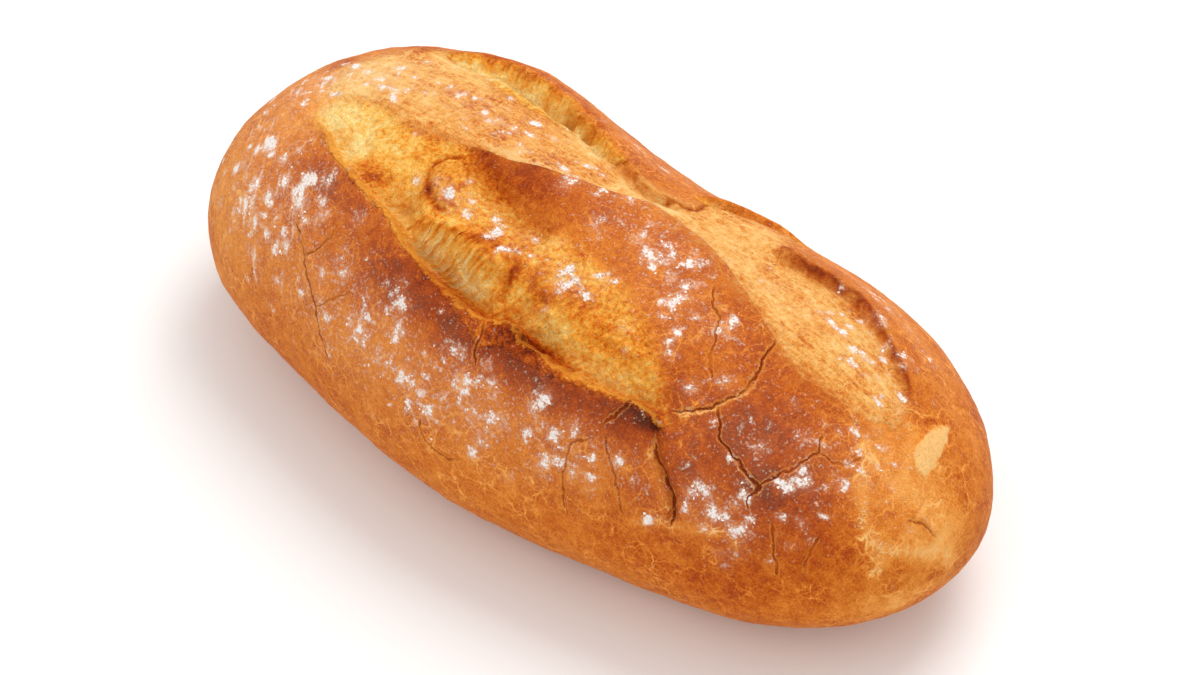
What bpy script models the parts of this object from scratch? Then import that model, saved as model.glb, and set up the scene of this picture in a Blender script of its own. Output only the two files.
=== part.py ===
"""Semolina bread loaf: one oval hearth loaf, baked on its flat foot, with four slanting cuts that opened in the oven.

Metres, +Z up. The origin is on the table under the middle of the loaf. +X runs along the loaf to its narrower heel,
-Y is the near flank and +Y the far flank. A place on the crust is given as (along, around): millimetres along the
loaf from its middle, and degrees round its girth from the ridge line, less than 0 on the near flank.
"""

import bmesh
import bpy
import numpy as np
from mathutils import noise

MM = 0.001
NAME = "loaf"

# The dough, before the cuts
LENGTH = 300 * MM
WIDTH = 151 * MM
HEIGHT = 98 * MM
BELLY = 39 * MM  # height of the widest line above the table
UNDERSIDE = 49 * MM  # how far a full round underside would reach below the belly: the table flattens it
FOOT_ROUNDING = 4 * MM
HEEL_BLUNTNESS = 2.1  # superellipse power of the end at +X
HEAD_BLUNTNESS = 2.7  # and of the blunter end at -X
GIRTH_ROUNDNESS = 2.1
BEND = 2.5 * MM  # both ends lie this far towards +Y
SKEW = 0.055  # the far flank lies further along +X than the near one
FAR_SAG = 6 * MM  # the far shoulder is lower than the near one
# How each flank's reach swells and narrows along the loaf: one wave as cosine, one as sine, two waves as cosine
NEAR_WAVES = (-0.025, -0.025, 0.035)
FAR_WAVES = (-0.10, 0.01, -0.025)

# Each cut opened on one side of a raised lip of crust. Its line follows the lip's edge, as (along, around).
NEAR_LIP = (
    (-110, -22), (-100, -27), (-84, -34), (-65, -38), (-54, -39), (-46, -41), (-39, -44), (-19, -47),
    (-2, -49), (5, -48), (11, -46), (18, -48), (35, -50), (60, -48), (70, -49), (77, -52),
)
TONGUE_LIP = (
    (-54, -5), (-42, -5), (-30, -4), (-16, 0), (-1, 4), (7, 8), (14, 12), (30, 12),
    (47, 9), (62, 4), (74, -1), (84, -4), (98, -4), (112, 0), (122, 8),
)
FAR_LIP = (
    (-108, 36), (-94, 41), (-81, 46), (-61, 45), (-49, 43), (-38, 40), (-28, 37), (-13, 32), (0, 28), (9, 30), (16, 36),
)
SLIT_LIP = ((6, 42), (13, 50), (20, 57), (30, 61), (42, 60))
HEEL_LIP = ((42, 44), (48, 38), (59, 39), (73, 42), (81, 41), (97, 36), (111, 29), (118, 22), (122, 13))
OPENS_TO_FAR, OPENS_TO_NEAR = 1, -1

# Sections across a cut, at shares of the lip's length. In mm: height of the lip, width of its rounded back,
# depth of the opening's floor and its distance from the lip, and the far end of the slope: distance and height
NEAR_SECTIONS = (
    (0.00, 0.0, 24, 0.0, 5.0, 22, 0.0),
    (0.10, 1.8, 24, 2.8, 6.0, 26, -0.3),
    (0.19, 2.2, 24, 1.4, 6.0, 24, -0.3),
    (0.28, 2.2, 24, 3.4, 7.0, 22, -0.2),
    (0.36, 2.6, 25, 3.6, 4.0, 11, 0.9),
    (0.43, 2.8, 26, 7.5, 5.0, 17, 1.6),
    (0.53, 2.9, 26, 9.0, 5.5, 20, 1.6),
    (0.61, 2.6, 26, 6.0, 5.0, 21, 0.6),
    (0.68, 2.9, 26, 8.0, 5.0, 21, -0.4),
    (0.80, 2.4, 26, 5.4, 5.5, 20, -1.2),
    (0.92, 2.2, 24, 4.5, 4.0, 13, -1.0),
    (1.00, 0.0, 22, 0.0, 4.0, 12, 0.0),
)
TONGUE_SECTIONS = (
    (0.00, 0.0, 6, 0.0, 3.0, 12, 0.0),
    (0.07, 3.4, 8, 0.6, 3.0, 14, -0.4),
    (0.17, 4.6, 13, 1.0, 3.5, 16, -0.8),
    (0.30, 4.8, 24, 1.4, 4.0, 18, -1.2),
    (0.45, 3.6, 36, 1.4, 4.5, 20, -1.4),
    (0.65, 2.4, 40, 1.4, 5.0, 18, -1.2),
    (0.85, 1.4, 30, 1.0, 5.0, 14, -0.6),
    (1.00, 0.0, 24, 0.0, 5.0, 12, 0.0),
)
FAR_SECTIONS = (
    (0.00, 0.0, 16, 0.0, 4.0, 14, 0.0),
    (0.14, 2.8, 18, 2.6, 5.0, 15, 0.3),
    (0.33, 4.2, 22, 5.6, 6.0, 17, 0.4),
    (0.50, 4.5, 22, 5.0, 5.5, 15, 0.4),
    (0.62, 4.2, 22, 2.6, 4.5, 11, 0.3),
    (0.76, 3.4, 20, 0.9, 4.0, 9, 0.0),
    (0.90, 2.2, 13, 1.4, 1.8, 6, 0.0),
    (1.00, 0.0, 10, 0.0, 1.8, 6, 0.0),
)
SLIT_SECTIONS = (
    (0.00, 0.0, 9, 0.0, 2.5, 7, 0.0),
    (0.30, 2.0, 9, 3.0, 2.8, 8, 0.4),
    (0.65, 2.2, 10, 3.2, 2.8, 8, 0.3),
    (1.00, 0.0, 9, 0.0, 2.5, 7, 0.0),
)
HEEL_SECTIONS = (
    (0.00, 0.0, 14, 0.0, 3.0, 12, 0.0),
    (0.12, 3.4, 18, 1.4, 2.5, 12, -0.4),
    (0.40, 2.9, 20, 2.0, 3.5, 16, -0.6),
    (0.70, 2.2, 22, 1.6, 3.5, 14, -0.5),
    (1.00, 0.0, 20, 0.0, 3.5, 12, 0.0),
)
LEAN = 0.7  # a lip leans over its opening by this share of its height

# Narrow splits and hollows: line, depth in mm, half width in mm
GROOVES = (
    (((-50, -8), (-38, -10), (-26, -14), (-12, -17), (2, -17)), 2.6, 6.0),  # hollow under the tongue
    (((73, -51), (71, -55), (75, -58), (84, -65), (87, -74)), 3.2, 2.6),  # heel split
    (((76, -43), (82, -31), (83, -20), (79, -6)), 1.0, 1.8),
    (((83, -36), (95, -45), (105, -49), (107, -60)), 1.0, 1.8),
    (((105, -49), (107, -37), (111, -24), (108, -13)), 1.0, 1.8),
    (((-86, -53), (-70, -62), (-58, -70), (-46, -81)), 0.9, 1.8),
)
# Single bumps and hollows: (along, around), radius in mm along, radius in mm around, height in mm
BUMPS = (
    ((-70, -31), 9, 7, 1.8),  # lump in the head cut
    ((-51, -32), 6, 6, -2.6),  # hollow at the foot of the blister
    ((-41, -20), 7, 7.5, 4.2),  # blister that curled up beside the tongue
    ((-3, -36), 5, 3.5, -1.8),  # dent in the slope of the near cut
    ((-112, 36), 9, 8, 1.2),  # crust left of the far cut
    ((128, 14), 11, 8, 0.8),  # bare pale patch on the heel
)

GRID = (170, 96, 56)  # faces along, across and up the starting block
TRIANGLES = 11600
FLAT_TOLERANCE = 0.35 * MM
CRUST_GRAIN = 0.35 * MM  # unevenness of the crust


def ease(x):
    x = np.clip(x, 0, 1)
    return x * x * (3 - 2 * x)


def slopes(u, h):
    """Slopes at the knots of rising curves, flat where a curve turns, so that it never overshoots."""
    gap = np.diff(u)
    steep = np.diff(h) / gap
    before, after = steep[:, :-1], steep[:, 1:]
    w1, w2 = 2 * gap[:, 1:] + gap[:, :-1], gap[:, 1:] + 2 * gap[:, :-1]
    turns = before * after <= 0
    safe = np.where(turns, 1.0, before), np.where(turns, 1.0, after)
    middle = np.where(turns, 0.0, (w1 + w2) / (w1 / safe[0] + w2 / safe[1]))
    ends = np.zeros((len(u), 1))
    return np.hstack([ends, middle, ends])


def through_knots(x, u, h):
    """Height at x on a smooth curve through the knots (u, h), one row of knots for each x."""
    row = np.arange(len(x))
    i = np.clip((x[:, None] > u).sum(1) - 1, 0, u.shape[1] - 2)
    m = slopes(u, h)
    u0, h0, m0 = u[row, i], h[row, i], m[row, i]
    u1, h1, m1 = u[row, i + 1], h[row, i + 1], m[row, i + 1]
    gap = u1 - u0
    t = np.clip((x - u0) / gap, 0, 1)
    start, end = (1 + 2 * t) * (1 - t) ** 2 * h0, t * t * (3 - 2 * t) * h1
    return start + end + gap * (t * (1 - t) ** 2 * m0 - t * t * (1 - t) * m1)


def between(share, rows):
    """Sizes at each share of a line's length, easing from one row of (share, sizes) to the next."""
    rows = np.array(rows, float)
    at, sizes = rows[:, 0], rows[:, 1:]
    i = np.clip(np.searchsorted(at, share) - 1, 0, len(at) - 2)
    t = ease((share - at[i]) / (at[i + 1] - at[i]))[:, None]
    return (sizes[i] * (1 - t) + sizes[i + 1] * t).T


def cut_knots(sizes):
    """Knots (mm from the lip's edge into the opening, mm out) of a cut's section, one row for each point."""
    lip, back, floor, floor_at, end_at, end = sizes
    none = np.zeros(len(lip))
    u = (-back, -0.6 * back, -0.25 * back, -0.06 * back, none, 0.5 * floor_at, floor_at)
    h = (none, 0.35 * lip, 0.85 * lip, lip, 0.8 * lip, -0.75 * floor, -floor)
    u += (0.5 * (floor_at + end_at), end_at, end_at + 14)
    h += (0.5 * end - 0.5 * floor, end, none)
    return np.stack(u, 1), np.stack(h, 1)


def waves(share, amounts):
    one_cos, one_sin, two_cos = amounts
    turn = np.pi * share
    return 1 + one_cos * np.cos(turn) + one_sin * np.sin(turn) + two_cos * np.cos(2 * turn)


def rise(across_z):
    """Half height of the section above or below the belly."""
    return np.where(across_z > 0, HEIGHT - BELLY, UNDERSIDE)


def slumped(plain):
    """The plain, even loaf made uneven, as dough settles, and flattened on the table."""
    x, y, z = plain.T
    share = x / (LENGTH / 2)
    side = y / (WIDTH / 2)
    far = 0.5 + 0.5 * np.tanh(3 * side)
    y = y * (waves(share, NEAR_WAVES) * (1 - far) + waves(share, FAR_WAVES) * far)
    shoulder = np.clip(z / (HEIGHT - BELLY), 0, 1) * np.clip(1.6 * side, 0, 1)
    z = z + BELLY - FAR_SAG * far * shoulder * np.cos(np.pi * share / 2) ** 2
    y = y + BEND * share**2
    x = x + SKEW * y
    foot = (z + FOOT_ROUNDING).clip(0) ** 2 / (4 * FOOT_ROUNDING)
    z = np.where(z > FOOT_ROUNDING, z, foot)
    return np.stack([x, y, z], 1)


def plain_from(directions):
    """Points of the plain loaf in these directions from its centre."""
    x, y, z = directions.T
    girth = np.abs(y / (WIDTH / 2)) ** GIRTH_ROUNDNESS + np.abs(z / rise(z)) ** GIRTH_ROUNDNESS
    power = np.where(x > 0, HEEL_BLUNTNESS, HEAD_BLUNTNESS)
    reach = np.abs(x / (LENGTH / 2)) ** power + girth ** (power / GIRTH_ROUNDNESS)
    return directions * (reach ** (-1 / power))[:, None]


def plain_at(along, around):
    """Points of the plain loaf at these places, along in metres and around in degrees."""
    turn = np.radians(around)
    y, z = np.sin(turn), np.cos(turn)
    girth = np.abs(y / (WIDTH / 2)) ** GIRTH_ROUNDNESS + np.abs(z / rise(z)) ** GIRTH_ROUNDNESS
    power = np.where(along > 0, HEEL_BLUNTNESS, HEAD_BLUNTNESS)
    left = (1 - np.abs(along / (LENGTH / 2)) ** power).clip(1e-9) ** (1 / power)
    out = left / girth ** (1 / GIRTH_ROUNDNESS)
    return np.stack([along, out * y, out * z], 1)


def on_dough(along, around):
    """Points on the dough and its outward directions there."""
    step_along, step_around = 0.5 * MM, 0.5
    here = slumped(plain_at(along, around))
    ahead = slumped(plain_at(along + step_along, around)) - here
    aside = slumped(plain_at(along, around + step_around)) - here
    out = np.cross(ahead, aside)
    return here, out / np.linalg.norm(out, axis=1, keepdims=True)


class Track:
    """A smooth line on the dough through a few places, and how far points lie along it and beside it."""

    def __init__(self, places, step=1.0):
        places = np.array(places, float)
        padded = np.vstack([2 * places[0] - places[1], places, 2 * places[-1] - places[-2]])
        before, start, end, after = padded[:-3], padded[1:-2], padded[2:-1], padded[3:]
        pieces = []
        for a, b, c, d in zip(before, start, end, after, strict=True):
            count = max(3, int(np.hypot(*(c - b)) / step))
            t = np.linspace(0, 1, count, endpoint=False)[:, None]
            pieces.append(0.5 * (2 * b + (c - a) * t + (2 * a - 5 * b + 4 * c - d) * t**2 + (3 * b - a - 3 * c + d) * t**3))
        line = np.vstack([*pieces, places[-1:]])
        self.points, out = on_dough(line[:, 0] * MM, line[:, 1])
        self.ahead = np.gradient(self.points, axis=0)
        lengths = np.linalg.norm(self.ahead, axis=1, keepdims=True)
        self.ahead /= lengths
        self.beside = np.cross(out, self.ahead)
        gaps = np.linalg.norm(np.diff(self.points, axis=0), axis=1)
        self.run = np.concatenate([[0], np.cumsum(gaps)])
        self.length = self.run[-1]

    def near(self, points, reach):
        """(which points lie within reach, share of the length, millimetres beside it: more than 0 on the far side)."""
        low, high = self.points.min(0) - reach, self.points.max(0) + reach
        close = np.flatnonzero(((points > low) & (points < high)).all(1))
        nearest = np.empty(len(close), int)
        for k in range(0, len(close), 4000):
            gap = points[close[k : k + 4000], None] - self.points[None]
            nearest[k : k + 4000] = (gap**2).sum(2).argmin(1)
        offset = points[close] - self.points[nearest]
        inside = np.linalg.norm(offset, axis=1) < reach
        close, nearest, offset = close[inside], nearest[inside], offset[inside]
        share = (self.run[nearest] + (offset * self.ahead[nearest]).sum(1)) / self.length
        return close, share, (offset * self.beside[nearest]).sum(1) / MM


class Relief:
    """How far the crust stands out from the dough at each point, in mm, and how far its lips lean sideways."""

    def __init__(self, points):
        self.points = points
        self.out = np.zeros(len(points))
        self.lean = np.zeros((len(points), 3))

    def cut(self, lip_line, opens, sections):
        track = Track(lip_line)
        at, share, beside = track.near(self.points, 56 * MM)
        sizes = between(share, sections)
        into = beside * opens
        self.out[at] += through_knots(into, *cut_knots(sizes))
        tip = LEAN * sizes[0] * np.exp(-(((into + 0.5) / 3) ** 2))
        self.lean[at] += track.beside.mean(0) * (opens * tip * MM)[:, None]

    def groove(self, line, depth, half_width):
        at, share, beside = Track(line).near(self.points, 4 * half_width * MM)
        fade = ease(share / 0.25) * ease((1 - share) / 0.25)
        self.out[at] -= depth * fade * np.exp(-((beside / half_width) ** 2))

    def bump(self, place, along, around, height):
        middle, _ = on_dough(np.array([place[0] * MM]), np.array([float(place[1])]))
        gap = (self.points - middle[0]) / MM
        girth = np.hypot(gap[:, 1], gap[:, 2])
        self.out += height * np.exp(-((gap[:, 0] / along) ** 2) - (girth / around) ** 2)


def carve(relief):
    relief.cut(NEAR_LIP, OPENS_TO_FAR, NEAR_SECTIONS)
    relief.cut(TONGUE_LIP, OPENS_TO_FAR, TONGUE_SECTIONS)
    relief.cut(FAR_LIP, OPENS_TO_NEAR, FAR_SECTIONS)
    relief.cut(SLIT_LIP, OPENS_TO_NEAR, SLIT_SECTIONS)
    relief.cut(HEEL_LIP, OPENS_TO_NEAR, HEEL_SECTIONS)
    for line, depth, half_width in GROOVES:
        relief.groove(line, depth, half_width)
    for place, along, around, height in BUMPS:
        relief.bump(place, along, around, height)


def block(count_along, count_across, count_up):
    """A cube whose faces are a grid of this many, as a bmesh."""
    bm = bmesh.new()
    bmesh.ops.create_cube(bm, size=2)
    for axis, count in enumerate((count_along, count_across, count_up)):
        edges = [e for e in bm.edges if abs(e.verts[0].co[axis] - e.verts[1].co[axis]) > 1e-6]
        bmesh.ops.subdivide_edges(bm, edges=edges, cuts=count - 1, use_grid_fill=True)
    return bm


def directions_of(corners):
    """The block's points turned to directions that space them evenly over the loaf."""
    spread = np.tan(corners * np.pi / 4)
    return spread * np.stack([np.full(len(corners), LENGTH / 2), np.full(len(corners), WIDTH / 2), rise(corners[:, 2])], 1)


def normals_of(mesh):
    found = np.empty(len(mesh.vertices) * 3)
    mesh.vertex_normals.foreach_get("vector", found)
    return found.reshape(-1, 3)


def grain(points):
    """Low, soft lumps all over the crust, from -1 to 1."""
    return np.array([noise.fractal(p, 1.0, 2.0, 3) for p in points / (16 * MM)])


def loaf_mesh():
    bm = block(*GRID)
    mesh = bpy.data.meshes.new(NAME)
    bm.to_mesh(mesh)
    bm.free()
    corners = np.empty(len(mesh.vertices) * 3)
    mesh.vertices.foreach_get("co", corners)
    dough = slumped(plain_from(directions_of(corners.reshape(-1, 3))))
    mesh.vertices.foreach_set("co", dough.ravel())
    mesh.update()
    relief = Relief(dough)
    carve(relief)
    above_foot = ease(dough[:, 2] / (3 * FOOT_ROUNDING))
    out = (relief.out * MM + CRUST_GRAIN * grain(dough)) * above_foot
    shaped = dough + normals_of(mesh) * out[:, None] + relief.lean * above_foot[:, None]
    shaped[:, 2] = shaped[:, 2].clip(0)
    mesh.vertices.foreach_set("co", shaped.ravel())
    mesh.update()
    return mesh


def thinned(mesh):
    """The mesh with few triangles where it is smooth, its foot flat on the table and its middle over the origin."""
    obj = bpy.data.objects.new(NAME, mesh)
    bpy.context.scene.collection.objects.link(obj)
    modifier = obj.modifiers.new("thin", "DECIMATE")
    modifier.ratio = TRIANGLES / (2 * len(mesh.polygons))
    thin = bpy.data.meshes.new_from_object(obj.evaluated_get(bpy.context.evaluated_depsgraph_get()))
    bpy.data.objects.remove(obj)
    bpy.data.meshes.remove(mesh)
    points = np.empty(len(thin.vertices) * 3)
    thin.vertices.foreach_get("co", points)
    points = points.reshape(-1, 3)
    points[:, 2] = np.where(points[:, 2] < FLAT_TOLERANCE, 0, points[:, 2])
    points[:, :2] -= (points[:, :2].min(0) + points[:, :2].max(0)) / 2
    thin.vertices.foreach_set("co", points.ravel())
    thin.update()
    thin.name = NAME
    return thin


def crust_material():
    material = bpy.data.materials.new("golden_crust")
    material.use_nodes = True
    shader = material.node_tree.nodes["Principled BSDF"]
    shader.inputs["Base Color"].default_value = (0.50, 0.19, 0.055, 1)
    shader.inputs["Roughness"].default_value = 0.72
    shader.inputs["Metallic"].default_value = 0
    return material


def main():
    for obj in list(bpy.data.objects):
        bpy.data.objects.remove(obj)
    mesh = thinned(loaf_mesh())
    mesh.materials.append(crust_material())
    mesh.shade_smooth()
    parts = bpy.data.collections.new("semolina_loaf")
    bpy.context.scene.collection.children.link(parts)
    parts.objects.link(bpy.data.objects.new(NAME, mesh))


main()
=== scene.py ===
"""A semolina hearth loaf as it comes from the oven: torn, toasted cuts, a cracked brown crust and a dusting of flour.

The loaf is shaped in millimetres, from the same named sizes as its solid, at 17 times as many triangles. A place on
the crust is (along, around): millimetres along the loaf from its middle towards its narrow heel at +X, and degrees
round its girth from the ridge line, less than 0 on the near flank (-Y).
"""

import bpy
import numpy as np
from mathutils import Matrix, Vector, kdtree, noise
from mathutils.bvhtree import BVHTree


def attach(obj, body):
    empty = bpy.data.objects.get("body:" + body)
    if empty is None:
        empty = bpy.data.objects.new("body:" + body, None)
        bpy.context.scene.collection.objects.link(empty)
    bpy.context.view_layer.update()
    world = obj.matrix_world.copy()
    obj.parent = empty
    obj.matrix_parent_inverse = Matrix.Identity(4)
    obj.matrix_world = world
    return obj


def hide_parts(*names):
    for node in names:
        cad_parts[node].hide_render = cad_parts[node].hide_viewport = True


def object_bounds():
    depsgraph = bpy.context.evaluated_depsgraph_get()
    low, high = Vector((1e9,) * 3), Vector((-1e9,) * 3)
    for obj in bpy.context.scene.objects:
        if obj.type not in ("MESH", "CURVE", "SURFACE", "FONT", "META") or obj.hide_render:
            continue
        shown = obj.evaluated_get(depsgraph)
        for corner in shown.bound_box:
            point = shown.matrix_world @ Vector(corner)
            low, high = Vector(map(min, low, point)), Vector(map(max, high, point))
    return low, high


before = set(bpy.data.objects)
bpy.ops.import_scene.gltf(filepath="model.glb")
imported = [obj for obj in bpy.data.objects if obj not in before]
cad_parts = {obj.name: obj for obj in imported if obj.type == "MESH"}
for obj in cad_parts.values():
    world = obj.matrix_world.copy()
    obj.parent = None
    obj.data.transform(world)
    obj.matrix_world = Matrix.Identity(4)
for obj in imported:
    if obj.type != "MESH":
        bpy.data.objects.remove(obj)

bl_info = {
    "name": "Semolina Loaf",
    "version": (1, 0, 0),
    "blender": (4, 5, 0),
    "location": "View3D > Sidebar > Loaf",
    "description": "Shapes, bakes and dusts a semolina hearth loaf, with its table, lights and camera",
    "category": "Object",
}

MM = 0.001
METRE = 1000  # mm: divided by a pattern's size, it gives the scale of its texture
SQUARE_METRE = 10000  # square centimetres
NODE = "loaf"
BODY = "root"
CAD_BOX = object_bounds()

# The dough before its cuts, in mm
LENGTH, WIDTH, HEIGHT = 300, 151, 98
BELLY = 39  # height of the widest line above the table
UNDERSIDE = 49  # how far a full round underside would reach below the belly: the table flattens it
FOOT_ROUNDING = 4
HEEL_BLUNTNESS, HEAD_BLUNTNESS, GIRTH_ROUNDNESS = 2.1, 2.7, 2.1
BEND, SKEW, FAR_SAG = 2.5, 0.055, 6
NEAR_WAVES = (-0.025, -0.025, 0.035)
FAR_WAVES = (-0.10, 0.01, -0.025)
GIRTH_STEP = 1.08  # mm of crust for each degree round the girth

CUT_REACH, CUT_END = 56, 14  # mm: how far a cut is worked out from its lip, and how long it takes to fade out
OUTLINE_REACH = 12.0  # mm from an outline past which its distance doesn't matter
SOFT_BLUR, SHARP_BLUR = 5.0, 1.2  # mm over which crust fades into crumb, on most of the loaf and at the far cuts
NO_CRACK = 9.0  # half widths from a crack that count as far from it
CRACK_CUT = 0.55  # share of a crack's depth that is shaped: its colour shows the rest
SHAPED_LEAST, DRAWN_LEAST = 0.5, 0.28  # least half widths of a crack in mm, as it is shaped and as it is coloured
BAKED = 0.455  # how toasted plain crust is
FLOUR_EDGE, LESS_FLOUR = 100, 0.5  # degrees round the girth past which this share of the flour lies
FLAKE_SEED, LUMP_SEED, LUMP_SIZE_SEED, LUMP_TURN_SEED, STRAND_SEED = 5, 4, 7, 9, 11
CLUMP = 3.0, 2.8, 0.7  # radius along, radius around and thickness of a clump of flour
FLAKES = (1.2, 2.4), (1.2, 2.0), (0.7, 1.3)  # least and most radius along, radius around and thickness of a flake

# Lines of the raised lips, as (along, around)
NEAR_LIP = (
    (-110, -22), (-100, -27), (-84, -34), (-65, -38), (-54, -39), (-46, -41), (-39, -44), (-19, -47), (-2, -49),
    (5, -48), (11, -46), (18, -48), (35, -50), (60, -48), (70, -49), (77, -52),
)
TONGUE_LIP = (
    (-54, -5), (-42, -5), (-30, -4), (-16, 0), (-1, 4), (7, 8), (14, 12), (30, 12), (47, 9), (62, 4), (74, -1),
    (84, -4), (98, -4), (112, 0), (122, 8),
)
FAR_LIP = (
    (-108, 36), (-94, 41), (-81, 46), (-61, 45), (-49, 43), (-38, 40), (-28, 37), (-13, 32), (0, 28), (9, 30),
    (16, 36),
)
SLIT_LIP = ((6, 42), (13, 50), (20, 57), (30, 61), (42, 60))
HEEL_LIP = ((42, 44), (48, 38), (59, 39), (73, 42), (81, 41), (97, 36), (111, 29), (118, 22), (122, 13))
OPENS_TO_FAR, OPENS_TO_NEAR = 1, -1

# Sections across a cut, at shares of the lip's length. In mm: height of the lip, width of its rounded back,
# depth of the opening's floor and its distance from the lip, and the far end of the slope: distance and height
NEAR_SECTIONS = (
    (0.00, 0.0, 24, 0.0, 5.0, 22, 0.0),
    (0.10, 1.8, 24, 2.8, 6.0, 26, -0.3),
    (0.19, 2.2, 24, 1.4, 6.0, 24, -0.3),
    (0.28, 2.2, 24, 3.4, 7.0, 22, -0.2),
    (0.36, 2.6, 25, 3.6, 4.0, 11, 0.9),
    (0.43, 2.8, 26, 7.5, 5.0, 17, 1.6),
    (0.53, 2.9, 26, 9.0, 5.5, 20, 1.6),
    (0.61, 2.6, 26, 6.0, 5.0, 21, 0.6),
    (0.68, 2.9, 26, 8.0, 5.0, 21, -0.4),
    (0.80, 2.4, 26, 5.4, 5.5, 20, -1.2),
    (0.92, 2.2, 24, 4.5, 4.0, 13, -1.0),
    (1.00, 0.0, 22, 0.0, 4.0, 12, 0.0),
)
TONGUE_SECTIONS = (
    (0.00, 0.0, 6, 0.0, 3.0, 12, 0.0),
    (0.07, 3.4, 8, 0.6, 3.0, 14, -0.4),
    (0.17, 4.6, 13, 1.0, 3.5, 16, -0.8),
    (0.30, 4.8, 24, 1.4, 4.0, 18, -1.2),
    (0.45, 3.6, 36, 1.4, 4.5, 20, -1.4),
    (0.65, 2.4, 40, 1.4, 5.0, 18, -1.2),
    (0.85, 1.4, 30, 1.0, 5.0, 14, -0.6),
    (1.00, 0.0, 24, 0.0, 5.0, 12, 0.0),
)
FAR_SECTIONS = (
    (0.00, 0.0, 16, 0.0, 4.0, 14, 0.0),
    (0.14, 2.8, 18, 2.6, 5.0, 15, 0.3),
    (0.33, 4.2, 22, 5.6, 6.0, 17, 0.4),
    (0.50, 4.5, 22, 5.0, 5.5, 15, 0.4),
    (0.62, 4.2, 22, 2.6, 4.5, 11, 0.3),
    (0.76, 3.4, 20, 0.9, 4.0, 9, 0.0),
    (0.90, 2.2, 13, 1.4, 1.8, 6, 0.0),
    (1.00, 0.0, 10, 0.0, 1.8, 6, 0.0),
)
SLIT_SECTIONS = (
    (0.00, 0.0, 9, 0.0, 2.5, 7, 0.0),
    (0.30, 2.0, 9, 3.0, 2.8, 8, 0.4),
    (0.65, 2.2, 10, 3.2, 2.8, 8, 0.3),
    (1.00, 0.0, 9, 0.0, 2.5, 7, 0.0),
)
HEEL_SECTIONS = (
    (0.00, 0.0, 14, 0.0, 3.0, 12, 0.0),
    (0.12, 3.4, 18, 1.4, 2.5, 12, -0.4),
    (0.40, 2.9, 20, 2.0, 3.5, 16, -0.6),
    (0.70, 2.2, 22, 1.6, 3.5, 14, -0.5),
    (1.00, 0.0, 20, 0.0, 3.5, 12, 0.0),
)
SLANT, HEAD_SLANT = 0.5, 0.58  # mm along the loaf for each mm round the girth: of strands, and of flour on the head
LEAN = 0.7  # a lip leans over its opening by this share of its height

# Soft hollows and creases: line, depth, half width
HOLLOWS = (
    (((-50, -8), (-38, -10), (-26, -14), (-12, -17), (2, -17)), 2.6, 6.0),
    (((68, -46), (70, -51), (75, -57), (80, -61), (85, -66), (88, -74)), 3.0, 2.2),
    (((-34, -29), (-43, -27), (-50, -23), (-53, -18), (-52, -13), (-46, -9)), 1.3, 1.5),
    (((-1, -28), (-1, -32), (0, -37), (2, -41)), 0.8, 1.6),
    (((6, 28), (10, 31), (14, 35), (12, 44)), 0.9, 1.1),
)
# Cracks in the crust, as families whose cracks don't meet: line, depth, half width
CRACKS = (
    (
        (((69, -43), (75, -39), (80, -33), (82, -27), (83, -19), (80, -11), (77, -1)), 1.3, 0.34),
        (((111, -24), (116, -23), (119, -19), (120, -13)), 0.8, 0.22),
        (((113, -56), (116, -62), (118, -68), (121, -76)), 0.9, 0.28),
        (((55, -60), (51, -63), (50, -67), (51, -73), (53, -79), (56, -85)), 0.7, 0.2),
        (((-82, -55), (-70, -62), (-64, -67), (-58, -70), (-54, -74), (-49, -79), (-43, -82)), 0.9, 0.26),
        (((-2, -77), (2, -83), (9, -85), (17, -83)), 0.7, 0.2),
        (((4, -49), (7, -52), (8, -55), (11, -58)), 1.0, 0.3),
    ),
    (
        (((80, -33), (84, -37), (87, -42), (93, -44), (97, -45), (105, -49), (104, -53), (106, -58)), 1.3, 0.32),
        (((51, 1), (56, -5), (61, -9), (66, -16), (67, -20), (74, -28)), 0.8, 0.2),
        (((58, -58), (64, -65), (69, -71), (74, -78)), 0.7, 0.2),
        (((-70, -62), (-66, -58), (-63, -52)), 0.7, 0.2),
        (((58, -47), (58, -51), (56, -56)), 0.9, 0.26),
        (((139, -22), (142, -14), (146, -12)), 0.7, 0.24),
    ),
    (
        (((105, -49), (106, -44), (107, -40), (109, -35), (110, -29), (111, -24), (108, -17)), 1.2, 0.28),
        (((71, -53), (76, -58), (80, -61), (85, -66), (88, -74)), 1.2, 0.34),
        (((-57, -71), (-51, -66), (-45, -61)), 0.7, 0.2),
        (((126, -54), (126, -63), (127, -72)), 0.7, 0.22),
    ),
)
# Pale seams where the crust has stretched: line, half width, how pale
SEAMS = (
    (((72, -78), (80, -75), (88, -73), (96, -70), (103, -68), (112, -70)), 1.7, 0.55),
    (((69, -43), (75, -40), (80, -34), (83, -26), (83, -18)), 1.2, 0.7),
    (((112, -6), (121, -11), (124, -20), (128, -30), (133, -40), (140, -52), (142, -80)), 2.8, 0.56),
    (((134, -42), (141, -46), (146, -34), (148, -8)), 2.4, 0.6),
    (((68, -50), (72, -55), (76, -60), (82, -66), (86, -72)), 2.4, 0.45),
    (((-55, 0), (-39, 1), (-27, 4), (-15, 9), (-4, 14), (8, 21), (13, 27)), 1.7, 0.9),
    (((118, 22), (128, 4), (133, -14), (130, -34)), 1.6, 0.35),
)
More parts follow.
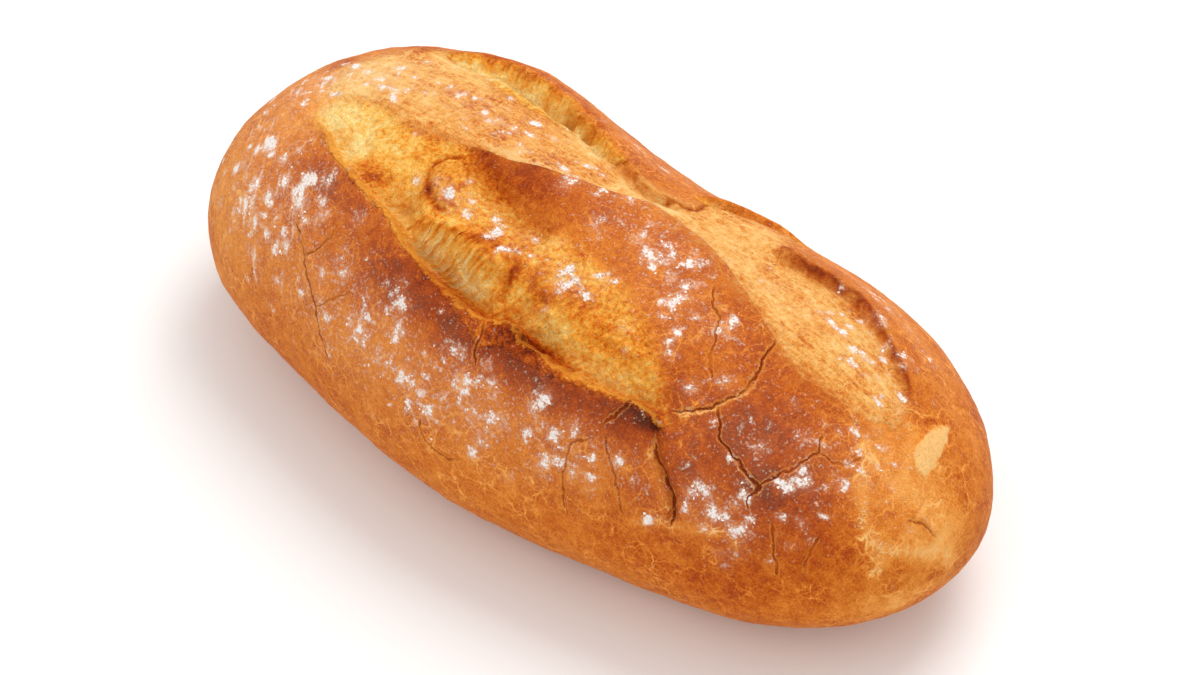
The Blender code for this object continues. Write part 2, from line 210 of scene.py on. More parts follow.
# Burnt or bare creases, and painted shadow lines beside the blister's curled edge and along the heel lip: line, half
# width, how much darker
BURNT_CREASES_AND_SHADOW_LINES = (
    # The blister's curled edge: a burnt crease, with painted shadow under the curl
    (((-34, -29), (-43, -28), (-50, -23), (-53, -18), (-52, -13), (-46, -9)), 0.9, 0.26),
    (((-1, -28), (-1, -32), (0, -37), (2, -41)), 1.6, 0.14),
    (((5, 28), (10, 31), (14, 35), (12, 44)), 0.7, 0.26),
    (((-50, -4), (-42, -7), (-31, -10), (-20, -14), (-10, -15), (2, -14)), 1.6, 0.10),
    (((-47, -37), (-37, -34), (-26, -32), (-15, -29), (-6, -28)), 1.3, 0.20),
    (((56, -48), (63, -49), (71, -50)), 1.4, 0.30),
    # Painted shadow line that the heel lip's ridge casts on the skin beside it
    (((43, 43), (49, 38), (59, 39), (73, 42), (81, 41), (97, 36), (111, 29), (117, 23)), 0.8, 0.34),
    (((-104, 40), (-94, 43), (-81, 48), (-61, 47), (-49, 45), (-38, 42), (-28, 39)), 1.6, 0.14),
    (((120, 22), (126, 40)), 1.0, 0.2),
)
# A bare pale patch on the heel, as an outline
PALE_PATCH = ((125, 39), (129, 32), (132, 22), (134, 7), (131, 5), (127, 9), (125, 22))
# Single bumps and hollows: (along, around), radius along, radius around, height
BUMPS = (
    ((-70, -31), 9, 7, 1.8), ((-51, -32), 6, 6, -2.6), ((-42, -19), 7.5, 8, 4.0), ((-46, -20), 4, 6, 1.0),
    ((-3, -36), 5, 3.5, -1.2), ((-74, -33), 5, 4, 1.2), ((-65, -34), 4, 3.5, 1.3), ((-62, -28), 4, 3, 0.9),
    ((-84, -27), 8, 4, -1.2), ((-76, 41), 4, 3, -2.0), ((-62, 40), 5, 3, -1.8), ((-46, 40), 6, 2.5, -1.8),
    ((-36, 37), 3, 2, -1.4), ((-69, 43), 4, 3, 1.2), ((-54, 42), 4, 3, 1.2), ((-93, -20), 6, 5, 0.9),
    ((36, -48), 2, 2, -1.6), ((22, -38), 6, 5, 0.9), ((46, -33), 7, 5, 0.8), ((-112, 36), 9, 8, 1.2),
    ((128, 14), 11, 8, 0.8),
)

# Where bare crumb and stretched skin show, as outlines in (along, around)
NEAR_OPENING = (
    (-107, -23), (-100, -28), (-84, -35), (-65, -39), (-54, -40), (-46, -42), (-39, -45), (-19, -48), (-9, -50),
    (-4, -51), (3, -52), (8, -54), (13, -51), (18, -51), (24, -52), (36, -52), (44, -51), (60, -49), (72, -50),
    (72, -46), (65, -40), (59, -34), (54, -29), (49, -25), (39, -21), (26, -17), (10, -15), (-7, -15), (-19, -13),
    (-31, -10), (-45, -7), (-53, -6), (-60, -8), (-75, -10), (-91, -6), (-106, -12),
)
STRETCHED = TONGUE_LIP[:-1] + (
    (119, 14), (115, 25), (104, 33), (89, 38), (73, 42), (59, 39), (47, 39), (42, 48), (38, 55), (24, 52), (13, 44),
    (9, 32), (0, 29), (-13, 31), (-28, 31), (-42, 28), (-66, 27), (-89, 33), (-105, 38), (-119, 28), (-123, 8),
    (-114, -14), (-91, -6), (-75, -10),
)
FAR_OPENING = FAR_LIP[:-3] + ((-13, 31), (-28, 31), (-42, 28), (-66, 27), (-78, 29), (-89, 33), (-105, 37))
SLIT_OPENING = ((7, 42), (13, 49), (20, 56), (30, 60), (42, 60), (36, 55), (24, 51), (13, 43))

# Scorched spots on the crest of the near cut and elsewhere: (along, around), radius, how dark
SCORCHED = (
    ((-42, -36), 4.0, 0.20), ((-33, -34), 5.0, 0.26), ((-24, -32), 5.0, 0.30), ((-15, -29), 5.0, 0.32),
    ((-6, -28), 4.5, 0.28), ((-2, -33), 3.0, 0.30), ((-12, -33), 4.5, 0.22), ((6, -32), 4.5, 0.34),
    ((11, -34), 3.5, 0.30), ((18, -31), 4.5, 0.26), ((26, -31), 3.0, 0.42), ((12, -17), 2.4, 0.50),
    ((-3, -16), 2.0, 0.30), ((-46, -28), 3.5, 0.30), ((-36, -27), 4.0, 0.26), ((-52, -17), 3.0, 0.24),
    ((-66, -32), 8.0, 0.26), ((-74, -32), 5.0, 0.20), ((-62, -28), 5.0, 0.18), ((-57, -14), 5.0, 0.14),
    ((36, -34), 4.0, 0.16), ((0, -45), 5.0, 0.22), ((10, -47), 5.0, 0.26), ((61, -49), 6.0, 0.34),
    ((68, -49), 4.0, 0.40), ((133, -20), 6.0, 0.16), ((141, -16), 4.0, 0.22), ((112, -80), 12.0, 0.10),
    ((128, -66), 9.0, 0.14),
)
# Darker and lighter places on the crust: (along, around), radius along, radius around, toast. Most are toast; a few are
# painted shade, marked below
TOASTED_AND_SHADED = (
    ((-5, -54), 80, 9, 0.22),  # back of the near lip
    # The tongue's steep side is darker: toast, and painted shade for the little light it gets
    ((-26, -5), 22, 6, 0.12), ((-4, -2), 12, 8, -0.06),  # steep side of the tongue
    ((20, -33), 22, 10, 0.16), ((-36, -40), 12, 6, -0.10),  # slope of the near cut
    ((-98, -16), 14, 10, -0.06), ((-44, -19), 8, 7, 0.10), ((-67, -31), 6, 4, 0.26), ((-85, -27), 9, 5, -0.16),
    # On the next line, (22, -47) and (-10, -46) darken the floor of the near cut's groove: painted shade
    ((52, -45), 9, 4, -0.12), ((22, -47), 9, 3, 0.62), ((-10, -46), 13, 2.4, 0.2), ((-85, -43), 24, 6, 0.12),
    ((-129, 15), 8, 9, 0.26), ((-8, -78), 60, 14, -0.03), ((40, -44), 14, 4, -0.04), ((45, -38), 9, 5, 0.13),
    ((-2, 12), 16, 9, -0.06), ((-88, 31), 16, 4, -0.16), ((30, -4), 34, 12, 0.08), ((-58, 10), 48, 16, 0.10),
    ((-100, -6), 16, 9, 0.10), ((-112, 34), 14, 9, 0.16),
    ((96, -40), 34, 30, 0.27),  # cracked heel
    ((104, -82), 34, 18, 0.06),
    ((-110, 2), 26, 34, -0.16),  # head
    ((-120, -62), 26, 26, -0.10),
    ((136, -4), 16, 26, -0.22), ((42, -70), 14, 9, 0.07), ((149, -10), 5, 40, -0.16),  # tip of the heel
    ((80, 52), 40, 10, -0.04), ((-10, 84), 110, 24, 0.07), ((112, -56), 13, 18, 0.13), ((147, -94), 6, 16, -0.2),
    ((143, -40), 8, 12, -0.1), ((117, -34), 9, 9, 0.08),
)
# Painted shade in hollows of the torn crumb and in pits of the far wall: (along, around), radius along, radius around,
# how much
SHADED = (
    ((-51, -34), 5, 3.5, 0.75), ((-58, -35), 4, 3, 0.4), ((-36, -12), 8, 3, 0.4), ((-22, -46), 8, 3, 0.6),
    ((-8, -46), 9, 3, 0.8), ((36, -48), 2, 2, 0.7), ((22, -47), 9, 3.4, 1.0), ((-76, 41), 4, 2, 0.9),
    ((-62, 40), 5, 2, 0.8), ((-46, 40), 6, 2, 0.8), ((-36, 37), 3, 2, 0.8),
)
# Where flour lies: (along, around), radius along, radius around, how thick
FLOURED = (
    ((-95, -55), 42, 26, 0.70), ((-40, -68), 40, 18, 0.60), ((10, -66), 36, 15, 0.58), ((52, -66), 26, 14, 0.46),
    ((96, -64), 20, 11, 0.46), ((18, 2), 26, 12, 0.62), ((50, -12), 26, 12, 0.56), ((-14, -22), 22, 7, 0.56),
    ((14, -26), 14, 7, 0.5), ((-38, -24), 9, 4, 0.6), ((96, -34), 30, 22, 0.56), ((-60, 12), 50, 14, 0.60),
    ((-112, 8), 24, 26, 0.46), ((-40, 52), 44, 8, 0.44), ((-128, -10), 14, 20, 0.4), ((-128, 16), 8, 9, -0.35),
    ((70, 20), 40, 14, 0.42), ((84, 48), 34, 7, 0.44), ((124, -10), 18, 24, 0.34), ((0, 96), 120, 30, 0.36),
    ((-120, -30), 24, 26, 0.40),
)
# The thickest clumps of flour
CLUMPS = (
    (-119, -52), (-112, -42), (-106, -69), (-104, -60), (-97, -63), (-95, -48), (-93, -72), (-84, -50), (-82, -65),
    (-79, -41), (-72, -51), (-58, -45), (-51, -59), (-35, -68), (-28, -52), (-21, -61), (-12, -71), (8, -63),
    (16, -69), (26, -67), (35, -60), (43, -74), (48, -60), (98, -37), (105, -24), (113, -39), (121, -28), (92, -58),
    (98, -63), (106, -66), (108, -72), (70, -33), (77, -25), (58, -28), (65, -11), (47, -14), (41, -29), (41, 4),
    (34, -1), (30, -5), (21, -1), (10, 11), (7, -6), (-12, -1), (-10, 0), (-7, -19), (13, -23), (22, -75), (60, -73),
)
# Places with scattered flakes of flour: (along, around), spread along, spread around, how many
SPRINKLED = (
    ((-14, -23), 24, 4, 18), ((22, -25), 12, 4, 8), ((-38, 17), 24, 7, 32), ((-78, 10), 18, 8, 18),
    ((92, 28), 13, 10, 44), ((24, 0), 20, 8, 14), ((56, -18), 14, 8, 8), ((-122, 6), 10, 12, 10),
    ((120, -20), 12, 16, 18), ((116, -50), 12, 12, 12), ((-104, -58), 20, 14, 30), ((8, -66), 34, 12, 16),
    ((60, -70), 24, 9, 10), ((104, -66), 14, 8, 8), ((84, 50), 22, 5, 8), ((-34, 50), 34, 5, 12),
)

BLOCK = (480, 264, 132)  # faces along, across and up the starting block
STRAND_PLACES = (-42, -36, -31, -26, -22)  # mm along the loaf
STRAND_POINTS = 9
FROM_OUTSIDE, SUNK = 20 * MM, 0.15 * MM  # where a look down at the crust starts, and how deep a strand's line is sunk

PAINT = ("toast_and_shade", "hollow", "pale", "flour", "drawn", "opened", "stretched", "blur", "rim")
CRUST_COLOURS = (
    (0.0, "#FFC272"), (0.2, "#F5A24B"), (0.36, "#E3852E"), (0.5, "#CE6A1A"), (0.62, "#B84F0F"), (0.76, "#9A390C"),
    (0.9, "#76270A"), (1.0, "#541A07"),
)
SKIN_COLOURS = (
    (0.0, "#FFDB98"), (0.3, "#F9C272"), (0.5, "#EDA24C"), (0.66, "#DA7E2F"), (0.82, "#BC571A"), (1.0, "#87340D"),
)
CRUMB_COLOURS = (
    (0.0, "#FFE296"), (0.2, "#FCC15C"), (0.36, "#F3A138"), (0.5, "#E27F1E"), (0.64, "#C95D0D"), (0.82, "#9E3A06"),
    (1.0, "#6C2006"),
)
FLOUR_COLOURS = ((0.0, "#F2B88C"), (0.4, "#F2D2BA"), (1.0, "#F7EEE8"))
# HOLLOW_SHADE is multiplied into hollows and groove floors as painted shade
SEAM_COLOUR, RIM_COLOUR, HOLLOW_SHADE, PORE_COLOUR = "#F5C27A", "#E8982F", "#C0841C", "#A04E0E"
CRACK_COLOUR, CRACK_SIDE_COLOUR = "#86300A", "#F0A049"

# Sizes of the crust's patterns, in mm
BLOTCH, MOTTLE, RUBBLE, PORE_SPACING = 11, 3.0, 1.7, 1.9
STREAK = 7.0, 1.6  # of stretched skin: along the loaf and round the girth
STRAND = 1.3, 10.0  # of drawn crumb: across and along a strand
# The finest blisters, of 0.3 mm, don't show, so they are drawn as specks of 0.75 mm: scale, detail and roughness
SPECKS = METRE / 0.75, 2.0, 0.65
CRACKLE = ((10, 0.06, 1.0), (3.4, 0.10, 0.8))  # fine pale seams: size of their cells, width, how strong
CRACK_BANDS = ((4.2, 2.4), (2.6, 1.3), (1.5, 0.5))  # crack half widths: where a band begins, and where it is full
CLUMP_SIZE, DAB_SPACING = 3.0, 6.2
DRAGGED = 2.8, 11.0  # of flour dragged over the head: across and along a streak
HEAD_DRIFTS = -40.0, -80.0  # mm along the loaf where flour begins to be dragged, and where all of it is
DUST = 1.1  # grains of flour, of 0.1 mm, don't show, so the dust is drawn this coarse

# Kinds of node that are used often, some with their settings
MIX, RANGE, VECTOR = "ShaderNodeMix", "ShaderNodeMapRange", "ShaderNodeVectorMath"
NOISE, CELLS, RAMP, AXES = "ShaderNodeTexNoise", "ShaderNodeTexVoronoi", "ShaderNodeValToRGB", "ShaderNodeSeparateXYZ"
PLUS, MINUS, TIMES, TIMES_PLUS, OVER, POWER, SMALLER, LARGER, UNSIGNED = (
    ("ShaderNodeMath", {"operation": name})
    for name in ("ADD", "SUBTRACT", "MULTIPLY", "MULTIPLY_ADD", "DIVIDE", "POWER", "MINIMUM", "MAXIMUM", "ABSOLUTE")
)
COLOUR_MIX = MIX, {"data_type": "RGBA"}
SOFT_RANGE = RANGE, {"interpolation_type": "SMOOTHSTEP"}


def srgb(code):
    """Linear RGBA of an sRGB hex colour."""
    channels = [int(code[i : i + 2], 16) / 255 for i in (1, 3, 5)]
    return (*(c / 12.92 if c <= 0.04045 else ((c + 0.055) / 1.055) ** 2.4 for c in channels), 1.0)


def ease(x):
    x = np.clip(x, 0, 1)
    return x * x * (3 - 2 * x)


def hump(x, width):
    return np.exp(-((x / width) ** 2))


def tapered(share, end):
    """1 along a line, easing to 0 over this share of its length at both ends."""
    return ease(share / end) * ease((1 - share) / end)


def lumps(points, size, octaves=2, shift=0.0):
    """Smooth random lumps of this size in mm, about -1 to 1."""
    at = (points / size + shift).tolist()
    return np.array([noise.fractal(p, 1.0, 2.0, octaves) for p in at])


# ---- The dough ----


def waves(share, amounts):
    one_cos, one_sin, two_cos = amounts
    turn = np.pi * share
    return 1 + one_cos * np.cos(turn) + one_sin * np.sin(turn) + two_cos * np.cos(2 * turn)


def rise(z):
    """Half height of the section above or below the belly."""
    return np.where(z > 0, HEIGHT - BELLY, UNDERSIDE)


def slumped(plain):
    """The plain, even loaf made uneven, as dough settles, and flattened on the table."""
    x, y, z = plain.T
    share = x / (LENGTH / 2)
    side = y / (WIDTH / 2)
    far = 0.5 + 0.5 * np.tanh(3 * side)
    y = y * (waves(share, NEAR_WAVES) * (1 - far) + waves(share, FAR_WAVES) * far)
    shoulder = np.clip(z / (HEIGHT - BELLY), 0, 1) * np.clip(1.6 * side, 0, 1)
    z = z + BELLY - FAR_SAG * far * shoulder * np.cos(np.pi * share / 2) ** 2
    y = y + BEND * share**2
    x = x + SKEW * y
    foot = (z + FOOT_ROUNDING).clip(0) ** 2 / (4 * FOOT_ROUNDING)
    return np.stack([x, y, np.where(z > FOOT_ROUNDING, z, foot)], 1)


def girth_reach(y, z):
    return np.abs(y / (WIDTH / 2)) ** GIRTH_ROUNDNESS + np.abs(z / rise(z)) ** GIRTH_ROUNDNESS


def plain_from(directions):
    """Points of the plain loaf in these directions from its centre."""
    x, y, z = directions.T
    power = np.where(x > 0, HEEL_BLUNTNESS, HEAD_BLUNTNESS)
    reach = np.abs(x / (LENGTH / 2)) ** power + girth_reach(y, z) ** (power / GIRTH_ROUNDNESS)
    return directions * (reach ** (-1 / power))[:, None]


def plain_at(along, around):
    """Points of the plain loaf at these places."""
    turn = np.radians(around)
    y, z = np.sin(turn), np.cos(turn)
    power = np.where(along > 0, HEEL_BLUNTNESS, HEAD_BLUNTNESS)
    left = (1 - np.abs(along / (LENGTH / 2)) ** power).clip(1e-9) ** (1 / power)
    out = left / girth_reach(y, z) ** (1 / GIRTH_ROUNDNESS)
    return np.stack([along, out * y, out * z], 1)


def on_dough(along, around):
    """Points on the dough and its outward directions there."""
    here = slumped(plain_at(along, around))
    ahead = slumped(plain_at(along + 0.5, around)) - here
    aside = slumped(plain_at(along, around + 0.5)) - here
    out = np.cross(ahead, aside)
    return here, out / np.linalg.norm(out, axis=1, keepdims=True)


def smooth_line(places):
    """A smooth line through a few (along, around) places, at steps of about 1."""
    places = np.array(places, float)
    padded = np.vstack([2 * places[0] - places[1], places, 2 * places[-1] - places[-2]])
    pieces = []
    for a, b, c, d in zip(padded[:-3], padded[1:-2], padded[2:-1], padded[3:], strict=True):
        t = np.linspace(0, 1, max(3, int(np.hypot(*(c - b)))), endpoint=False)[:, None]
        pieces.append(0.5 * (2 * b + (c - a) * t + (2 * a - 5 * b + 4 * c - d) * t**2 + (3 * b - a - 3 * c + d) * t**3))
    return np.vstack([*pieces, places[-1:]])


class Track:
    """A smooth line on the dough, and how far points lie along it and beside it."""

    def __init__(self, places):
        line = smooth_line(places)
        self.points, self.out = on_dough(line[:, 0], line[:, 1])
        self.ahead = np.gradient(self.points, axis=0)
        self.ahead /= np.linalg.norm(self.ahead, axis=1, keepdims=True)
        self.beside = np.cross(self.out, self.ahead)
        self.run = np.concatenate([[0], np.cumsum(np.linalg.norm(np.diff(self.points, axis=0), axis=1))])
        self.length = self.run[-1]

    def near(self, points, reach):
        """(which points lie within reach, share of the length, mm beside it: more than 0 on the far side)."""
        low, high = self.points.min(0) - reach, self.points.max(0) + reach
        close = np.flatnonzero(((points > low) & (points < high)).all(1))
        tree = kdtree.KDTree(len(self.points))
        for i, point in enumerate(self.points.tolist()):
            tree.insert(point, i)
        tree.balance()
        found = [tree.find(p) for p in points[close].tolist()]
        nearest = np.array([f[1] for f in found], int)
        inside = np.array([f[2] for f in found]) < reach
        close, nearest = close[inside], nearest[inside]
        offset = points[close] - self.points[nearest]
        share = (self.run[nearest] + (offset * self.ahead[nearest]).sum(1)) / self.length
        return close, share, (offset * self.beside[nearest]).sum(1)


# ---- The cuts ----


def slopes(u, h):
    """Slopes at the knots of a curve that never overshoots them."""
    gap = np.diff(u)
    steep = np.diff(h) / gap
    before, after = steep[:, :-1], steep[:, 1:]
    w1, w2 = 2 * gap[:, 1:] + gap[:, :-1], gap[:, 1:] + 2 * gap[:, :-1]
    turns = before * after <= 0
    safe = np.where(turns, 1.0, before), np.where(turns, 1.0, after)
    middle = np.where(turns, 0.0, (w1 + w2) / (w1 / safe[0] + w2 / safe[1]))
    ends = np.zeros((len(u), 1))
    return np.hstack([ends, middle, ends])


def through_knots(x, u, h):
    """Height at x on a smooth curve through the knots (u, h), one row of knots for each x."""
    row = np.arange(len(x))
    i = np.clip((x[:, None] > u).sum(1) - 1, 0, u.shape[1] - 2)
    m = slopes(u, h)
    h0, m0, h1, m1 = h[row, i], m[row, i], h[row, i + 1], m[row, i + 1]
    gap = u[row, i + 1] - u[row, i]
    t = np.clip((x - u[row, i]) / gap, 0, 1)
    blend = (1 + 2 * t) * (1 - t) ** 2 * h0 + t * t * (3 - 2 * t) * h1
    return blend + gap * (t * (1 - t) ** 2 * m0 - t * t * (1 - t) * m1)


def between(share, rows):
    """Sizes at each share of a line's length, easing from one row of (share, sizes) to the next."""
    rows = np.array(rows, float)
    at, sizes = rows[:, 0], rows[:, 1:]
    i = np.clip(np.searchsorted(at, share) - 1, 0, len(at) - 2)
    t = ease((share - at[i]) / (at[i + 1] - at[i]))[:, None]
    return (sizes[i] * (1 - t) + sizes[i + 1] * t).T


def cut_knots(sizes):
    """Knots (mm from the lip's edge into the opening, mm out) of a cut's section, one row for each point."""
    lip, back, floor, floor_at, end_at, end = sizes
    none = np.zeros(len(lip))
    u = (-back, -0.6 * back, -0.25 * back, -0.06 * back, none, 0.5 * floor_at, floor_at)
    h = (none, 0.35 * lip, 0.85 * lip, lip, 0.8 * lip, -0.75 * floor, -floor)
    u += (0.5 * (floor_at + end_at), end_at, end_at + CUT_END)
    h += (0.5 * end - 0.5 * floor, end, none)
    return np.stack(u, 1), np.stack(h, 1)


def outline_depth(places, outline):
    """How far each (along, around) place lies inside an outline, in mm, less than 0 outside."""
    scale = np.array([1, GIRTH_STEP])
    p = places * scale
    corners = np.array(outline, float) * scale
    nearest = np.full(len(p), np.inf)
    inside = np.zeros(len(p), bool)
    for a, b in zip(corners, np.roll(corners, -1, axis=0), strict=True):
        side = b - a
        t = np.clip((p - a) @ side / (side @ side), 0, 1)[:, None]
        nearest = np.minimum(nearest, ((p - a - t * side) ** 2).sum(1))
        if a[1] != b[1]:
            crosses = ((a[1] > p[:, 1]) != (b[1] > p[:, 1])) & (p[:, 0] < a[0] + side[0] * (p[:, 1] - a[1]) / side[1])
            inside ^= crosses
    return np.where(inside, 1, -1) * np.sqrt(nearest)


def patches(places, rows):
    """Sum of soft patches ((along, around), radius along, radius around, amount) at these places."""
    total = np.zeros(len(places))
    for (along, around), radius_along, radius_around, amount in rows:
        reach = ((places[:, 0] - along) / radius_along) ** 2 + ((places[:, 1] - around) / radius_around) ** 2
        total += amount * np.exp(-reach)
    return total


class Crust:
    """The crust's relief in mm and its paint, at each point of the dough."""

    def __init__(self, points, places):
        count = len(points)
        self.points, self.places = points, places
        self.out = np.zeros(count)
        self.lean = np.zeros((count, 3))
        self.torn = lumps(points, 7.0, 2) * 0.9 + lumps(points, 2.2, 2, 31.7) * 0.5
        self.amounts = {name: np.zeros(count) for name in ("toast_and_shade", "hollow", "pale", "flour", "drawn")}
        self.opened = np.full(count, -OUTLINE_REACH)  # mm inside the torn crumb
        self.stretched = np.full(count, -OUTLINE_REACH)  # mm inside the stretched skin
        self.blur = np.full(count, SOFT_BLUR)  # mm over which crust fades into crumb
        self.rim = np.full(count, -OUTLINE_REACH)  # mm inside the lip's edge
        self.crack_side = np.full((count, len(CRACKS)), NO_CRACK)  # half widths beside a family's nearest crack
        self.crack_near = np.zeros((count, len(CRACKS)))

    def cut(self, lip_line, opens, sections, ragged):
        """Opens a cut beside its lip. Returns which points it reaches, how far in they lie, and for each the lip's
        height, the floor's depth and place, and where the slope ends."""
        track = Track(lip_line)
        at, share, beside = track.near(self.points, CUT_REACH)
        into = beside * opens
        into = into + ragged * self.torn[at] * hump(into, 12)
        sizes = between(share, sections)
        lip, _, floor, floor_at, end_at, _ = sizes
        self.out[at] += through_knots(into, *cut_knots(sizes))
        tip = LEAN * lip * hump(into + 0.5, 3)
        self.lean[at] += track.beside.mean(0) * (opens * tip)[:, None]
        return at, into, lip, floor, floor_at, end_at

    def stripe(self, line, half_width, wander):
        """Which points a soft stripe along a line reaches, and how strong it is there."""
        at, share, beside = Track(line).near(self.points, 3 * half_width + 3)
        return at, tapered(share, 0.15) * hump(beside + wander * self.torn[at], half_width)

    def groove(self, line, depth, half_width, wander=0.0):
        """Cuts a groove. Returns which points it reaches, how far beside it they lie, and how it fades at its ends."""
        at, share, beside = Track(line).near(self.points, 4 * half_width + 3)
        beside = beside + wander * self.torn[at]
        fade = tapered(share, 0.12)
        self.out[at] -= depth * fade * np.exp(-((np.abs(beside) / half_width) ** 1.5))
        return at, beside, fade

    def crack(self, family, line, depth, half_width):
        """Cuts a crack with swollen sides, and marks where its colour goes."""
        at, beside, fade = self.groove(line, CRACK_CUT * depth, max(SHAPED_LEAST, half_width), wander=1.1)
        self.out[at] += 0.3 * fade * hump(np.abs(beside) - 1.6, 0.9)
        width = max(DRAWN_LEAST, half_width) * (0.6 + 0.4 * fade)
        near = min(1.0, depth / 1.1) * ease(fade * 3) * ease((3.2 - np.abs(beside)) / 1.2)
        closer = near > self.crack_near[at, family]
        self.crack_side[at[closer], family] = (beside / width)[closer]
        self.crack_near[at[closer], family] = near[closer]

    def bump(self, place, along, around, height):
        middle, _ = on_dough(np.array([float(place[0])]), np.array([float(place[1])]))
        gap = self.points - middle[0]
        girth = np.hypot(gap[:, 1], gap[:, 2])
        self.out += height * np.exp(-((gap[:, 0] / along) ** 2) - (girth / around) ** 2)

    def add(self, name, at, amount):
        self.amounts[name][at] += amount

    def most(self, name, at, amount):
        self.amounts[name][at] = np.maximum(self.amounts[name][at], amount)

    def edge(self, at, into):
        """Keeps the distance to the nearest edge of a lip."""
        self.rim[at] = np.where(np.abs(into) < np.abs(self.rim[at]), into, self.rim[at])


def fibre_side(places):
    """Distance across the strands of crumb in mm. They run round the girth, and slant on the near flank."""
    return places[:, 0] - SLANT * GIRTH_STEP * np.minimum(places[:, 1], 0)


def fibre_places(places, width, length):
    return np.column_stack([fibre_side(places) / width, places[:, 1] * GIRTH_STEP / length, np.zeros(len(places))])


def open_near_cut(crust):
    """The long near cut: crumb drawn up in strands from a groove darkened with painted shade to a toasted crest."""
    at, into, lip, floor, floor_at, end_at = crust.cut(NEAR_LIP, OPENS_TO_FAR, NEAR_SECTIONS, 1.4)
    raised = lip / 2.9
    crust.edge(at, np.where(raised > 0.3, into, -OUTLINE_REACH))
    crust.blur[at] = 0.5 + 5.5 * ease((into - 5) / 9) + 5 * ease((-92 - crust.places[at, 0]) / 12)
    crust.add("toast_and_shade", at, 0.17 * raised * hump(into + 4, 6))
    # Painted shade on the floor of the groove behind the lip
    crust.most("hollow", at, 0.8 * floor / 8 * hump(into - floor_at + 1.4, 2.4))
    ragged = crust.torn[at]
    crust.add("toast_and_shade", at, 0.1 * ease(floor / 4) * hump(into - end_at + 1, 5) * (1 + ragged))
    slope = ease(into / 3) * ease((end_at + 5 - into) / 6) * (0.3 + floor / 9)
    strands = lumps(fibre_places(crust.places[at], 1.9, 14), 1.0, 3, 5.3)
    stringy = slope * (0.3 + 0.7 * ease((-8 - crust.places[at, 0]) / 14) * ease((crust.places[at, 0] + 58) / 12))
    crust.out[at] += 0.6 * stringy * strands + 0.7 * (slope - stringy) * lumps(crust.points[at], 4.5, 3, 6.1)
    crust.blur[at] *= 1 - 0.75 * patches(crust.places[at], (((-42, -6), 14, 5, 1.0),))
    crust.add("toast_and_shade", at, stringy * 0.16 * strands - 0.15 * slope)
    crust.most("drawn", at, stringy)


def open_other_cuts(crust):
    """The far cut with its torn wall, and the crust that lifts along the tongue, the slit and the heel."""
    at, into, lip, *_ = crust.cut(TONGUE_LIP, OPENS_TO_FAR, TONGUE_SECTIONS, 0.25)
    # Darker toast and painted shade on the tongue's steep side behind its lip
    crust.add("toast_and_shade", at, 0.12 * lip / 4.8 * hump(into + 5, 7))
    at, into, _, floor, floor_at, _ = crust.cut(FAR_LIP, OPENS_TO_NEAR, FAR_SECTIONS, 1.5)
    crust.blur[at[np.abs(into) < 18]] = SHARP_BLUR
    # Painted shade on the far cut's floor
    crust.most("hollow", at, 0.9 * floor / 5.6 * hump(into - floor_at, 1.8))
    deep = ease(floor / 3)
    wall = deep * ease((into + 0.5) / 1.5) * ease((floor_at + 1 - into) / 3)
    crust.add("toast_and_shade", at, wall * (0.26 * ease(1 - into / 3) - 0.17 + 0.2 * crust.torn[at]))
    crust.add("toast_and_shade", at, -0.52 * deep * hump(into - floor_at - 3, 4))
    crust.most("drawn", at, 0.55 * wall)
    crust.out[at] += 0.5 * wall * lumps(fibre_places(crust.places[at], 1.8, 10), 1.0, 3, 9.1)
    crust.out[at] += 1.5 * wall * lumps(crust.points[at], 5, 3, 4.9)
    crust.out[at] += 0.7 * deep * hump(into - 6, 5) * lumps(crust.points[at], 3.4, 3, 2.9)
    at, into, _, floor, floor_at, _ = crust.cut(SLIT_LIP, OPENS_TO_NEAR, SLIT_SECTIONS, 0.6)
    crust.blur[at[np.abs(into) < 12]] = SHARP_BLUR
    # Painted shade on the slit's floor
    crust.most("hollow", at, 0.5 * floor / 3.2 * hump(into - floor_at, 1.6))
    at, into, lip, floor, *_ = crust.cut(HEEL_LIP, OPENS_TO_NEAR, HEEL_SECTIONS, 0.25)
    crust.add("toast_and_shade", at, 0.08 * lip / 2.9 * hump(into + 2, 4))
    # Painted shade at the foot of the heel lip
    crust.most("hollow", at, 0.3 * floor / 2.0 * hump(into - 1, 1.6))


def split_crust(crust):
    """The hollows with their painted shade, cracks, pale seams, burnt creases with painted shadow lines, and the bare
    patch.
    """
    for line, depth, half_width in HOLLOWS:
        at, beside, fade = crust.groove(line, depth, half_width)
        # Painted shade in each hollow
        crust.most("hollow", at, 0.5 * fade * hump(beside, half_width))
    for family, cracks in enumerate(CRACKS):
        for crack in cracks:
            crust.crack(family, *crack)
    for line, half_width, amount in SEAMS:
        at, stripe = crust.stripe(line, half_width, 1.3)
        crust.most("pale", at, amount * stripe)
    # Burnt creases, and painted shadow lines beside raised edges, added to the toast
    for line, half_width, amount in BURNT_CREASES_AND_SHADOW_LINES:
        at, stripe = crust.stripe(line, half_width, 0.8)
        crust.add("toast_and_shade", at, amount * stripe)
    patch = ease(0.5 + outline_depth(crust.places, PALE_PATCH) / 1.2)
    crust.most("pale", np.arange(len(patch)), patch)
    crust.out += 0.5 * patch


